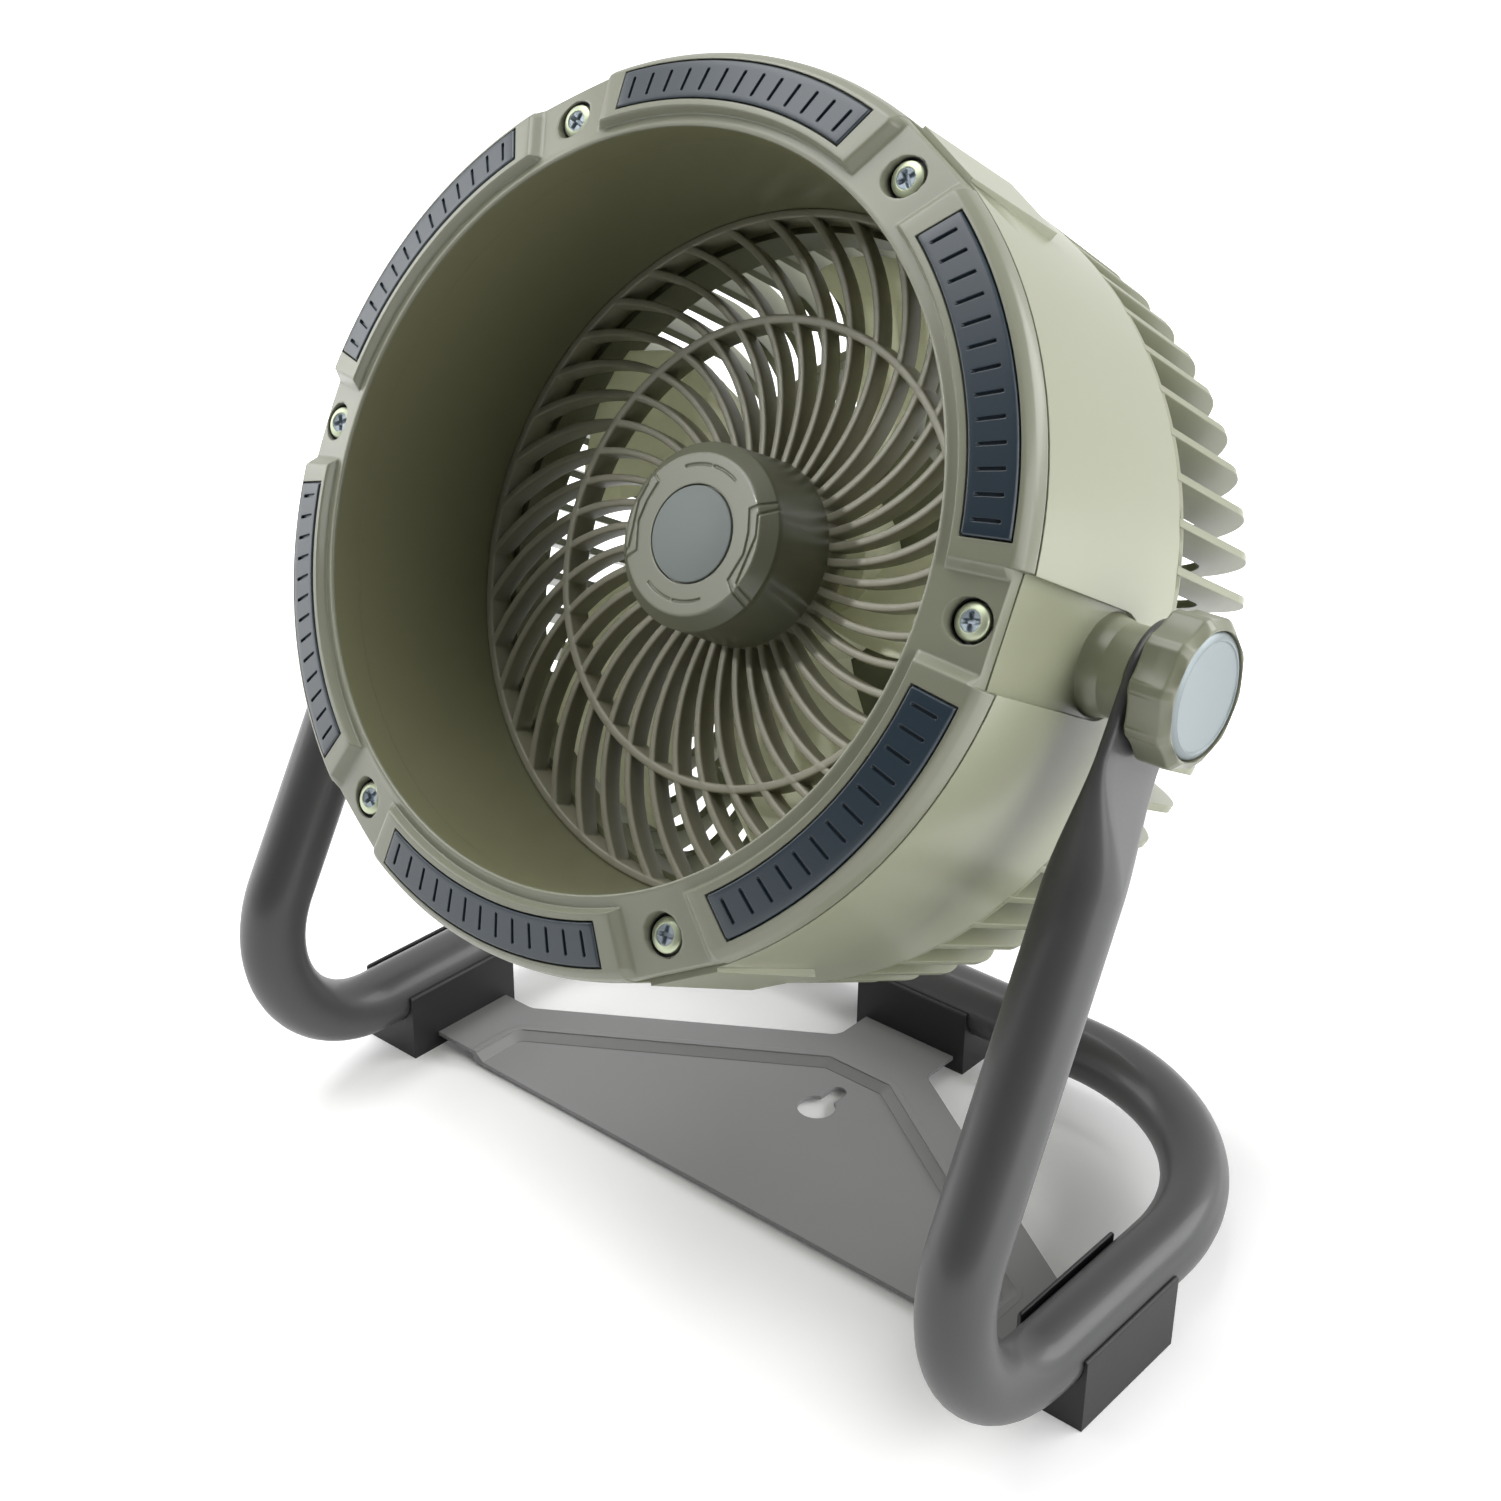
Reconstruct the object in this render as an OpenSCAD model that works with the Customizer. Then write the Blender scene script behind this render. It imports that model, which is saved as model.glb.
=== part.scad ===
// Portable camping fan: a tilting round head with its own battery, on a bent tube stand.
// Millimetres. +Z is up, the air blows towards -Y, and the ground is z = 0.
// The head is drawn upright along its own axis and then tilted about the pivot:
// in the head's frame +Z is the way the air leaves and z = 0 is the pivot axis.

/* [Head] */
// Tilt of the head above the horizontal, in degrees
head_tilt = 26.8; // [10:0.2:36]
// Distance from the pivot axis to the bezel's face
face_z = 60; // [56:0.5:66]
// Radius of the head at the seam between bezel and barrel
body_r = 128.4; // [126:0.2:134]
// Thickness of the moulded walls
shell_wall = 2.6; // [2:0.1:3.2]
// Gap left between parts that are pushed together
fit_gap = 0.1; // [0.05:0.05:0.2]
// Gap left between the faces that turn against each other
face_gap = 0.05; // [0.02:0.01:0.1]

/* [Bezel] */
// Depth of the bezel, from its face back to the seam
bezel_h = 7; // [6:0.5:10]
// Width of the bezel, from the head's largest radius in to its lip
bezel_w = 23; // [21:0.2:25]
// Rounding of the bezel's inner edge
lip_round = 1.6; // [0.8:0.1:2.4]
// Distance from the lip to the raised sectors
raise_margin = 1; // [0.6:0.1:1.4]
// Ledge left on the face outside the raised sectors
raise_ledge = 0.2; // [0.15:0.05:0.4]
// Height of the raised sectors above the face
raise_h = 2.4; // [1.5:0.1:3.5]
// Width of each raised sector, in degrees
raise_a = 49; // [46:0.5:52]
// Slope of the raised sectors' end walls, in degrees from upright
raise_slope = 38; // [20:1:50]
// Chamfer round the outside of the bezel
bezel_chamfer = 1.2; // [0.6:0.1:1.8]
// Depth of the flat that is cut across the bezel at each screw
flat_cut = 1.2; // [0.6:0.1:2]

/* [Rubber pads] */
// Distance from the raised sectors' inner edge to the pads
pad_in_margin = 3.8; // [3:0.1:5.4]
// Distance from the pads to the raised sectors' outer edge
pad_out_margin = 2.2; // [1.6:0.1:4]
// Length of each pad, in degrees
pad_a = 40.6; // [36:0.2:44]
// Thickness of the pads
pad_h = 2.8; // [2:0.1:3]
// How far the pads stand above the raised sectors
pad_proud = 0.3; // [0:0.1:1]
// Clearance round the pads
pad_gap = 0.3; // [0.2:0.1:0.6]
// Number of cuts in each pad
notch_count = 13; // [5:1:15]
// Angle from one cut to the next, in degrees
notch_pitch = 3; // [2:0.05:3]
// Distance from the pads' inner edge to the cuts
notch_in_margin = 3.4; // [2:0.1:5]
// Distance from the cuts to the pads' outer edge
notch_out_margin = 2.8; // [2:0.1:5]
// Width of the cuts
notch_w = 0.8; // [0.5:0.1:1.2]
// Depth of the cuts
notch_d = 1; // [0.5:0.1:1.5]

/* [Bezel screws] */
// Distance of the six screws in from the head's largest radius
screw_edge = 10.9; // [10:0.1:12]
// Diameter of the screw shank
screw_d = 4; // [3:0.1:4.4]
// Diameter of the screw head
screw_head_d = 9; // [7:0.1:9.6]
// Height of the screw head
screw_head_h = 2.8; // [2:0.1:3.2]
// Length of the screw below its head
screw_len = 18; // [12:0.5:20]
// Clearance round the shank in the holes it passes
screw_clear = 0.25; // [0.15:0.05:0.4]
// Diameter of the counterbore round the head
counterbore_d = 11.6; // [10.4:0.1:12]
// Depth of the counterbore
counterbore_h = 3.8; // [3:0.1:4.2]
// Length of the posts that the screws go into
post_len = 22; // [20:0.5:26]
// Wall of those posts round the screw
post_wall = 2.4; // [1.8:0.1:2.6]

/* [Air duct] */
// Thickness of the duct wall
duct_wall = 2; // [1.5:0.1:2.4]
// Thickness of the flange that is clamped under the bezel
flange_t = 2; // [1.5:0.1:3]
// Draft of the duct: its radius is this much smaller at the grille
duct_draft = 1.5; // [0.5:0.1:2.5]
// Step from the grille's rim in to the ring that the impeller runs in
shroud_step = 4.4; // [3.4:0.1:5.4]
// Depth of that ring behind the grille
shroud_h = 15; // [10:0.5:18]

/* [Front grille] */
// Distance of the grille's front from the pivot axis, backwards
grille_back = 2; // [1:0.2:4]
// Depth of the grille's ribs
rib_h = 9.6; // [7:0.2:10.4]
// Thickness of the ribs
rib_w = 1.9; // [1.4:0.1:2.4]
// How far the ribs' edges lie behind the rings' faces
rib_inset = 0.1; // [0.08:0.02:0.4]
// Number of ribs
rib_count = 42; // [30:1:46]
// Sweep of each rib from hub to rim, in degrees
rib_sweep = 32; // [20:0.5:40]
// How late the ribs bend: 1 is an even spiral
rib_bend = 1.6; // [1.2:0.05:2]
// Width of the grille's rim
rim_w = 2.6; // [2:0.1:4]
// Radius of the ring half way out
mid_ring_r = 70.5; // [60:0.5:80]
// Width of that ring
mid_ring_w = 2.4; // [1.8:0.1:3.4]

/* [Hub] */
// Radius of the hub at the grille
hub_r = 28.6; // [26:0.1:31]
// Length of the hub in front of the grille
hub_len = 28; // [22:0.5:32]
// Wall of the hub
hub_wall = 2.2; // [1.6:0.1:3]
// Draft of the hub: its radius is this much smaller in front
hub_draft = 0.9; // [0.4:0.1:1.6]
// Width of the chamfer round the hub's face
hub_chamfer = 4; // [2:0.1:5]
// Depth of the grille's hub ring that the hub is plugged into
hub_plug = 5; // [3:0.5:8]
// Distance from the plain disc to the chamfer
disc_margin = 9.6; // [8:0.1:12]
// Thickness of the disc
disc_h = 1.5; // [1:0.1:2]
// How far the disc stands above the face
disc_proud = 0.3; // [0:0.1:1]
// Distance from the disc's edge to the middle of the moulded groove beside it
groove_gap = 7.3; // [6:0.1:8]
// Width of that groove
hub_groove_w = 2.6; // [1.6:0.1:3.2]
// Depth of that groove
hub_groove_d = 0.8; // [0.4:0.1:1.2]
// Length of that groove to each side, in degrees
hub_groove_a = 30; // [20:1:40]

/* [Barrel] */
// Length of the barrel behind the seam
barrel_len = 80; // [74:0.5:86]
// Draft of the barrel: its radius is this much smaller at the back
barrel_draft = 2.3; // [1:0.1:4]
// Half width of the recess along each side, at the pivot
pocket_hw = 15; // [14.6:0.1:16]
// Depth of that recess below the barrel's largest radius
pocket_d = 4; // [3:0.1:5]
// Half width of the raised strips between the recesses
strip_hw = 11; // [8:0.5:14]
// Height of the raised strips above the barrel's largest radius
strip_h = 0.6; // [0.2:0.1:1]
// Length of the raised strips
strip_len = 46; // [30:1:60]

/* [Rear guard] */
// Number of fins
fin_count = 60; // [40:1:66]
// Angle of the first fin above the pivot axis, in degrees
fin_phase = 2; // [0:0.5:5.5]
// Thickness of the fins
fin_w = 2.4; // [1.8:0.1:2.8]
// Depth of the fins along the side
fin_side_d = 14; // [10:0.5:16]
// Depth of the fins across the back
fin_back_d = 8; // [6:0.5:10]
// Length of the guard behind the barrel
guard_len = 65; // [60:0.5:72]
// Radius of the rounded edge at the back
guard_round = 19; // [14:0.5:22]
// Draft of the guard: its radius is this much smaller at the rounded edge
guard_draft = 1.6; // [0.5:0.1:3]
// Thickness of the ring that lies on the barrel
guard_ring_t = 3.4; // [2.4:0.1:5]
// Radius of the ring half way across the back
back_ring_r = 88; // [75:1:98]
// Width of that ring
back_ring_w = 3; // [2:0.1:5]
// Distance of the guard's screws in from the end of the barrel
guard_screw_edge = 7.7; // [7:0.1:8.4]
// Diameter of those screws
guard_screw_d = 3; // [2.5:0.1:3.4]
// Length of those screws below the head
guard_screw_len = 8; // [6.5:0.5:10]

/* [Motor pod] */
// Room round the battery cells inside the pod's wall
pod_room = 2.3; // [2:0.1:6]
// Wall of the pod
pod_wall = 2.5; // [2:0.1:3]
// Distance from the pivot axis back to the pod's front
pod_front = 44; // [43:0.5:48]
// Depth of the rear cover
cover_h = 8; // [6.5:0.5:11]
// Rounding of the rear cover's edge
cover_round = 5; // [3:0.5:6]
// Distance of the rear cover's screws in from the pod's outer radius
cover_screw_edge = 6.8; // [6:0.1:7.2]
// Diameter of a battery cell
cell_d = 18.4; // [18:0.1:18.6]
// Length of a battery cell
cell_len = 65; // [60:0.5:67]
// Space between the cells
cell_gap = 0.4; // [0.2:0.1:1]
// Number of cells
cell_count = 3; // [1:1:3]
// How far the battery holder reaches past the cells' ends
cell_hold = 2; // [1:0.5:4]
// Length of the rear cover's screws
cover_screw_len = 14; // [10:0.5:16]
// Thickness of the circuit board
board_t = 1.6; // [1:0.1:2]

/* [Motor] */
// Radius of the motor case
motor_r = 22; // [18:0.5:26]
// Length of the motor case
motor_len = 20; // [16:0.5:21]
// Wall of the motor case
motor_wall = 1.5; // [1:0.1:2]
// Diameter of the motor shaft
shaft_d = 5; // [4:0.5:6]
// Radial gap of the running parts
run_gap = 0.05; // [0.02:0.01:0.09]
// Outer diameter of the ball bearings
bearing_d = 13; // [11:0.5:16]
// Width of the ball bearings
bearing_w = 4; // [3:0.5:5]

/* [Impeller] */
// Number of blades
blade_count = 5; // [3:1:7]
// Gap between the blade tips and the ring round them
tip_gap = 2.9; // [2:0.1:6]
// Chord of the blades at the hub
chord_root = 36; // [24:0.5:40]
// Chord of the blades at the tip
chord_tip = 62; // [40:0.5:70]
// Blade angle at the hub, in degrees from the plane of rotation
pitch_root = 38; // [30:1:44]
// Blade angle at the tip, in degrees from the plane of rotation
pitch_tip = 19; // [14:1:22]
// Thickness of the blades
blade_t = 2.4; // [1.6:0.1:3]
// Forward sweep of the blades, in degrees
blade_sweep = 22; // [0:1:30]
// Depth of the curve across each blade
blade_camber = 2.6; // [0:0.1:3.4]
// Radius of the impeller's hub
rotor_r = 30; // [26:0.5:34]
// Length of the impeller's hub
rotor_len = 25; // [20:0.5:27]
// Wall of the impeller's hub
rotor_wall = 2.4; // [1.8:0.1:3]
// Chamfer round the front of the impeller's hub
rotor_nose = 4; // [2:0.5:6]
// Distance between the grille and the impeller
rotor_gap = 3.6; // [3:0.1:5]

/* [Speed dial] */
// Radius of the dial
dial_r = 13; // [10:0.5:15]
// Height of the dial
dial_h = 8; // [6:0.5:11]
// Distance of the dial above the pod's centre
dial_y = 12; // [8:0.5:15]
// Diameter of the dial's spindle
spindle_d = 6; // [4:0.5:7]

/* [Charging port] */
// Distance of the port in from the pod's outer radius
port_edge = 26; // [23:0.5:28]
// Width of the socket
port_w = 9; // [8:0.1:10]
// Height of the socket
port_h = 3.2; // [2.6:0.1:4]
// Thickness of the rubber flap
flap_t = 1.6; // [1:0.1:2]
// Margin of the flap round the socket
flap_margin = 3.4; // [2.5:0.1:4.5]

/* [Pivot] */
// Height of the pivot axis above the ground
pivot_z = 223.5; // [212:0.5:240]
// Radius of the bosses on the barrel
boss_r = 13; // [11:0.1:13.6]
// How far the bosses stand out beyond the barrel's largest radius
boss_proud = 9; // [8:0.1:11]
// Thickness of the washer between boss and stand
pivot_washer_t = 1; // [0.5:0.1:1.6]
// Diameter of the clamp studs
stud_d = 8; // [6:0.5:9]
// Clearance of the studs in the stand's holes
stud_clear = 0.2; // [0.1:0.05:0.5]
// Outer diameter of the brass inserts
insert_d = 12; // [11:0.5:14]
// Length of the brass inserts
insert_len = 16; // [10:0.5:18]

/* [Knobs] */
// Radius of the knobs
knob_r = 20.8; // [18:0.1:24]
// Height of the knobs
knob_h = 12.4; // [10:0.1:16]
// Number of hollows round a knob
flute_count = 12; // [6:1:16]
// Radius of those hollows
flute_r = 7; // [5:0.1:9]
// Depth of those hollows
flute_d = 0.9; // [0.4:0.1:1.4]
// Chamfer at the front of a knob
knob_chamfer = 2.2; // [1:0.1:3]
// Width of a knob's rim round its disc
knob_rim = 4.6; // [4:0.1:8]
// Thickness of that disc
knob_disc_h = 2; // [1:0.1:2.6]
// Thickness of the rubber washer under a knob
knob_washer_t = 1; // [0.6:0.1:2]
// How much smaller the rubber washer under a knob is than the knob
knob_washer_step = 3.8; // [2.8:0.1:6]

/* [Stand tube] */
// Outer diameter of the tube
tube_d = 22; // [20:0.2:24]
// Wall of the tube
tube_wall = 1.5; // [1.2:0.1:2]
// Clearance between the legs and the head's widest ring
leg_clear = 0.7; // [0.5:0.1:2]
// Inward lean of the legs, in degrees
leg_lean = 1.5; // [0:0.1:2]
// Slope of the legs seen from the side, in degrees from upright
leg_angle = 28; // [24:0.5:31]
// Bend radius at the front, on the centreline
front_bend_r = 43; // [36:0.5:50]
// Bend radius of the rear corners, on the centreline
rear_bend_r = 77.5; // [60:0.5:80]
// Distance from the pivot back to the rear tube
rear_reach = 108.3; // [100:0.5:116]
// Thickness of the flattened tube ends
flat_t = 3.6; // [3.2:0.1:4.4]
// Width of the flattened tube ends
flat_w = 33; // [30:0.5:36]
// Length of the flat below the pivot
flat_len = 23; // [21.5:0.5:28]
// Length over which the tube is squeezed flat
squeeze_len = 34; // [24:0.5:40]

/* [Foot clips] */
// Rubber below the tube
foot_h = 12.5; // [10:0.5:15]
// Wall of the clips beside the tube
clip_wall = 1.3; // [1:0.1:2]
// Height of the clips' sides above the tube's centreline
clip_rise = 2; // [1:0.1:4]
// Length of the side clips
side_clip_len = 50; // [40:0.5:56]
// Distance from the pivot to the middle of the side clips, forwards
side_clip_fwd = 3.6; // [0:0.1:6]
// Length of the rear clip
rear_clip_len = 48.8; // [40:0.2:56]
// Depth at which the foot screws' heads start, above the ground
foot_head_z = 0.8; // [0.4:0.1:1]

/* [Base plate] */
// Thickness of the sheet
sheet_t = 1.5; // [1.2:0.1:2]
// Height of the plate's rim above the ground
rim_z = 6; // [5.6:0.1:7]
// Depth of the pressed middle below the rim
press_d = 3; // [2:0.1:3.4]
// Width of the rim beside the pressed middle
rim_side_w = 20; // [12:0.5:24]
// Width of the rim along the slanted edges
rim_slant_w = 14.6; // [10:0.1:18]
// Front edge of the plate, in front of the pivot
plate_fwd = 17; // [12:0.5:19]
// Rear edge of the side tabs, behind the pivot
side_tab_back = 17; // [14:0.5:18]
// Length of the side tabs beside the clips
side_tab_len = 14; // [8:0.5:18]
// Half width of the rear tab
rear_tab_hw = 20; // [16:0.5:24]
// Half width of the pressed middle's flat end
press_apex_hw = 13.6; // [8:0.1:18]
// Slope of the rear edges, in degrees
slant = 32.7; // [30:0.1:36]
// Rounding of the plate's inner corners
plate_round = 6; // [3:0.5:8]
// Diameter of the keyhole's round end
keyhole_d = 13.6; // [11:0.2:16]
// Width of the keyhole's slot
keyhole_slot = 6; // [4:0.1:8]
// Distance from the round end to the slot's end
keyhole_reach = 12.2; // [10:0.2:15]
// Distance of the keyhole behind the pivot
keyhole_back = 42; // [34:0.5:46]

/* [Hidden] */
$fn = 64;
eps = 0.01;
bend_lap = 0.3;
bend_shy = 0.04;
blend_lap = 0.6;
blend_shy = 0.03;

khaki = [0.72, 0.73, 0.62];
olive = [0.48, 0.49, 0.38];
leaf = [0.62, 0.66, 0.46];
slate = [0.22, 0.27, 0.33];
steel_grey = [0.38, 0.38, 0.39];
rubber_black = [0.10, 0.10, 0.11];
zinc = [0.78, 0.80, 0.76];
brass = [0.80, 0.66, 0.36];
silver = [0.60, 0.64, 0.66];
copper = [0.72, 0.42, 0.25];

// Places along the head's axis, from the pivot
seam_z = face_z - bezel_h;
barrel_back_z = seam_z - barrel_len;
barrel_back_r = body_r - barrel_draft;
guard_back_z = barrel_back_z - guard_len;
grille_z = -grille_back;
grille_back_z = grille_z - rib_h;
rotor_front_z = grille_back_z - rotor_gap;
rotor_back_z = rotor_front_z - rotor_len;
pod_front_z = -pod_front;
pod_back_z = guard_back_z;
pod_len = pod_front_z - pod_back_z;
cover_back_z = pod_back_z - cover_h;
hub_face_z = grille_z + hub_len;
hub_front_r = hub_r - hub_draft;
screw_seat_z = face_z - counterbore_h;
pad_floor_z = face_z + raise_h + pad_proud - pad_h;
sector_r = body_r - bezel_chamfer;

// The pod is as wide as its cells and their holder need
tray_w = cell_count * (cell_d + cell_gap) + 2;
pod_r = norm([tray_w / 2, cell_len / 2 + cell_hold]) + pod_room + pod_wall;
port_y = pod_r - port_edge;

// Radii that follow the head's own
lip_r = body_r - bezel_w;
raise_in = lip_r + raise_margin;
gap_flat_x = body_r - flat_cut;
pad_in = raise_in + pad_in_margin;
pad_out = sector_r - pad_out_margin;
notch_in = pad_in + notch_in_margin;
notch_len = pad_out - notch_out_margin - notch_in;
screw_r = body_r - screw_edge;
rim_r = lip_r - duct_draft - fit_gap;
shroud_r = rim_r - shroud_step;
blade_r = shroud_r - tip_gap;
guard_screw_r = barrel_back_r - guard_screw_edge;
cover_screw_r = pod_r - cover_screw_edge;
disc_r = hub_front_r - hub_chamfer - disc_margin;
hub_groove_r = disc_r + groove_gap;
knob_disc_r = knob_r - knob_rim;
knob_washer_r = knob_r - knob_washer_step;

// Places across the pivot, from the middle of the fan
pocket_x = body_r - pocket_d;
boss_x = body_r + boss_proud;
flat_x = boss_x + face_gap + pivot_washer_t + eps;
knob_washer_x = flat_x + flat_t + eps;
knob_x = knob_washer_x + knob_washer_t + face_gap;
insert_x = boss_x - insert_len;
stud_in_x = insert_x + 2;
stud_out_x = knob_x + knob_h - knob_disc_h - 1.5;

// The stand
tube_r = tube_d / 2;
foot_z = foot_h + tube_r;
leg_rise = pivot_z - foot_z;
head_rim_rise = leg_rise - face_z * cos(leg_angle);
foot_x = body_r + leg_clear + tube_r + head_rim_rise * tan(leg_lean);
clip_hw = tube_r + clip_wall;
head_front = (face_z + raise_h) * cos(head_tilt) + sector_r * sin(head_tilt);
guard_corner_r = barrel_back_r - guard_draft - guard_round;
head_back = -(guard_back_z + guard_round) * cos(head_tilt) + guard_corner_r * sin(head_tilt) + guard_round;
pivot_y = (head_front - max(head_back, rear_reach + clip_hw)) / 2;
rear_y = pivot_y + rear_reach;
leg_foot_y = pivot_y - leg_rise * tan(leg_angle);
bend_turn = 90 + leg_angle;
bend_y = leg_foot_y + front_bend_r * tan(bend_turn / 2);
side_clip_y = pivot_y - side_clip_fwd;
foot_screw_r = screw_d / 2;
foot_head_r = screw_head_d / 2;

// The base plate's corners, seen from above
side_back_y = pivot_y + side_tab_back;
slant_x = foot_x - clip_hw - side_tab_len;
slant_y = side_back_y + (slant_x - rear_tab_hw) * tan(slant);

// Puts the head's own frame in its place on the stand
module head_place() {
    translate([0, pivot_y, pivot_z]) rotate([90 - head_tilt, 0, 0]) children();
}

// Turns a shape drawn along +Z so that it runs along the pivot axis, starting at x
module along_x(x) {
    translate([x, 0, 0]) rotate([0, 90, 0]) children();
}

// Draws its children on the right, or mirrored on the left
module on_side(side) {
    if (side > 0) children();
    else mirror([1, 0, 0]) children();
}

module ring(r_in, r_out, h) {
    difference() {
        cylinder(r = r_out, h = h);
        translate([0, 0, -1]) cylinder(r = r_in, h = h + 2);
    }
}

// A ring's sector, turned so that its middle is on +X
module sector(r_in, r_out, h, angle) {
    rotate([0, 0, -angle / 2]) rotate_extrude(angle = angle) translate([r_in, 0]) square([r_out - r_in, h]);
}

// ---------------------------------------------------------------- stand

// The tube's cross-section, a hair slimmer by shy
module tube_ring(shy) {
    difference() {
        circle(tube_r - shy);
        circle(tube_r - tube_wall - shy);
    }
}

// A straight length of tube along +Z that laps into the bend at each end
module tube_run(len) {
    translate([0, 0, -bend_lap]) linear_extrude(len + 2 * bend_lap) tube_ring(bend_shy);
}

// The tube on one side, from the rear corner to where the leg is squeezed flat
module tube_side() {
    leg_len = leg_rise / cos(leg_angle) - front_bend_r * tan(bend_turn / 2) - flat_len - squeeze_len;
    translate([foot_x, 0, foot_z]) rotate([0, -leg_lean, 0]) translate([0, bend_y, front_bend_r]) {
        rotate([90, 0, 90]) rotate([0, 0, 180 - leg_angle]) rotate_extrude(angle = bend_turn)
            translate([front_bend_r, 0]) tube_ring(0);
        rotate([-leg_angle, 0, 0]) translate([0, -front_bend_r, 0]) tube_run(leg_len - bend_lap);
    }
    translate([foot_x, bend_y, foot_z]) rotate([-90, 0, 0]) tube_run(rear_y - rear_bend_r - bend_y);
    translate([foot_x - rear_bend_r, rear_y - rear_bend_r, foot_z]) rotate_extrude(angle = 90)
        translate([rear_bend_r, 0]) tube_ring(0);
}

module tube_rear() {
    translate([rear_bend_r - foot_x, rear_y, foot_z]) rotate([0, 90, 0]) tube_run(2 * (foot_x - rear_bend_r));
}

// Where the leg's round part ends, on the leaning centreline
leg_end_h = leg_rise - (flat_len + squeeze_len) * cos(leg_angle);
leg_end = [foot_x - leg_end_h * sin(leg_lean), pivot_y - (flat_len + squeeze_len) * sin(leg_angle),
    foot_z + leg_end_h * cos(leg_lean)];

// The stretch where the round tube is squeezed flat, as a blend from circle to bar.
// Both ends reach a little into their neighbours and are a hair slimmer than them.
module squeeze(r, thick, width) {
    hull() {
        translate(leg_end) rotate([0, -leg_lean, 0]) rotate([-leg_angle, 0, 0])
            translate([0, 0, -blend_lap]) cylinder(r = r - blend_shy, h = blend_lap / 2, $fn = 40);
        translate([flat_x + flat_t / 2, pivot_y, pivot_z]) rotate([-leg_angle, 0, 0])
            translate([blend_shy - thick / 2, blend_shy - width / 2, -flat_len + blend_lap / 2])
                cube([thick - 2 * blend_shy, width - 2 * blend_shy, blend_lap / 2]);
    }
}

// The flat tube end with its round top
module flat_end() {
    translate([0, pivot_y, pivot_z]) {
        along_x(flat_x) cylinder(r = flat_w / 2, h = flat_t);
        rotate([-leg_angle, 0, 0]) translate([flat_x, -flat_w / 2, -flat_len]) cube([flat_t, flat_w, flat_len]);
    }
}

module foot_screw_places() {
    for (side = [-1, 1], along = [-1, 1])
        translate([side * foot_x, side_clip_y + along * side_clip_len / 4, 0]) children();
    for (side = [-1, 1]) translate([side * rear_clip_len / 4, rear_y, 0]) children();
}

module stand_side() {
    tube_side();
    difference() {
        union() {
            squeeze(tube_r, flat_t, flat_w);
            flat_end();
        }
        squeeze(tube_r - tube_wall, flat_t - 2 * tube_wall, flat_w - 2 * tube_wall);
    }
}

module stand_tube() {
    color(steel_grey) difference() {
        union() {
            for (side = [-1, 1]) on_side(side) stand_side();
            tube_rear();
        }
        for (side = [-1, 1]) on_side(side) translate([0, pivot_y, pivot_z]) along_x(flat_x - 1)
            cylinder(r = stud_d / 2 + stud_clear, h = flat_t + 2);
        foot_screw_places() translate([0, 0, foot_h - 1]) cylinder(r = foot_screw_r + screw_clear, h = tube_wall + 2);
    }
}

// Outline of the whole plate, seen from above, on the right half
module plate_half() {
    tab_x = foot_x + clip_hw - 3;
    tab_y = rear_y + clip_hw - 3;
    polygon([[0, pivot_y - plate_fwd], [tab_x, pivot_y - plate_fwd], [tab_x, side_back_y],
        [slant_x, side_back_y], [rear_tab_hw, slant_y], [rear_tab_hw, tab_y], [0, tab_y]]);
    inside_fillet([slant_x, side_back_y], 0, 180 - slant, plate_round);
    inside_fillet([rear_tab_hw, slant_y], -slant, 90, plate_round);
}

// Fills an inside corner whose edges leave it at the angles a and b
module inside_fillet(corner, a, b, r) {
    half = (b - a) / 2;
    mid = [cos(a + half), sin(a + half)];
    centre = corner + r / sin(half) * mid;
    reach = r / tan(half);
    difference() {
        polygon([corner - mid, corner + reach * [cos(a), sin(a)], centre, corner + reach * [cos(b), sin(b)]]);
        translate(centre) circle(r);
    }
}

module plate_outline() {
    for (m = [0, 1]) mirror([m, 0]) plate_half();
}

// Outline of the pressed middle, grown by a margin
module press_outline(grow) {
    side_x = foot_x - clip_hw - rim_side_w + grow;
    side_y = side_back_y + (grow - rim_slant_w) / cos(slant) + (slant_x - side_x) * tan(slant);
    apex_y = side_y + (side_x - press_apex_hw) * tan(slant);
    front_y = pivot_y - plate_fwd - 5;
    polygon([[-side_x, front_y], [side_x, front_y], [side_x, side_y],
        [press_apex_hw, apex_y], [-press_apex_hw, apex_y], [-side_x, side_y]]);
}

module keyhole() {
    translate([0, pivot_y + keyhole_back]) {
        circle(d = keyhole_d);
        translate([-keyhole_slot / 2, 0]) square([keyhole_slot, keyhole_reach]);
        translate([0, keyhole_reach]) circle(d = keyhole_slot);
    }
}

module base_plate() {
    color(steel_grey) difference() {
        union() {
            translate([0, 0, rim_z - sheet_t]) linear_extrude(sheet_t) difference() {
                plate_outline();
                press_outline(0);
            }
            translate([0, 0, rim_z - press_d - sheet_t]) linear_extrude(press_d + sheet_t) intersection() {
                plate_outline();
                difference() {
                    press_outline(sheet_t);
                    press_outline(0);
                }
            }
            translate([0, 0, rim_z - press_d - sheet_t]) linear_extrude(sheet_t) intersection() {
                plate_outline();
                press_outline(eps);
            }
        }
        translate([0, 0, -1]) linear_extrude(rim_z + 2) keyhole();
        foot_screw_places() cylinder(r = foot_screw_r + screw_clear, h = rim_z + 1);
    }
}

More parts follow.
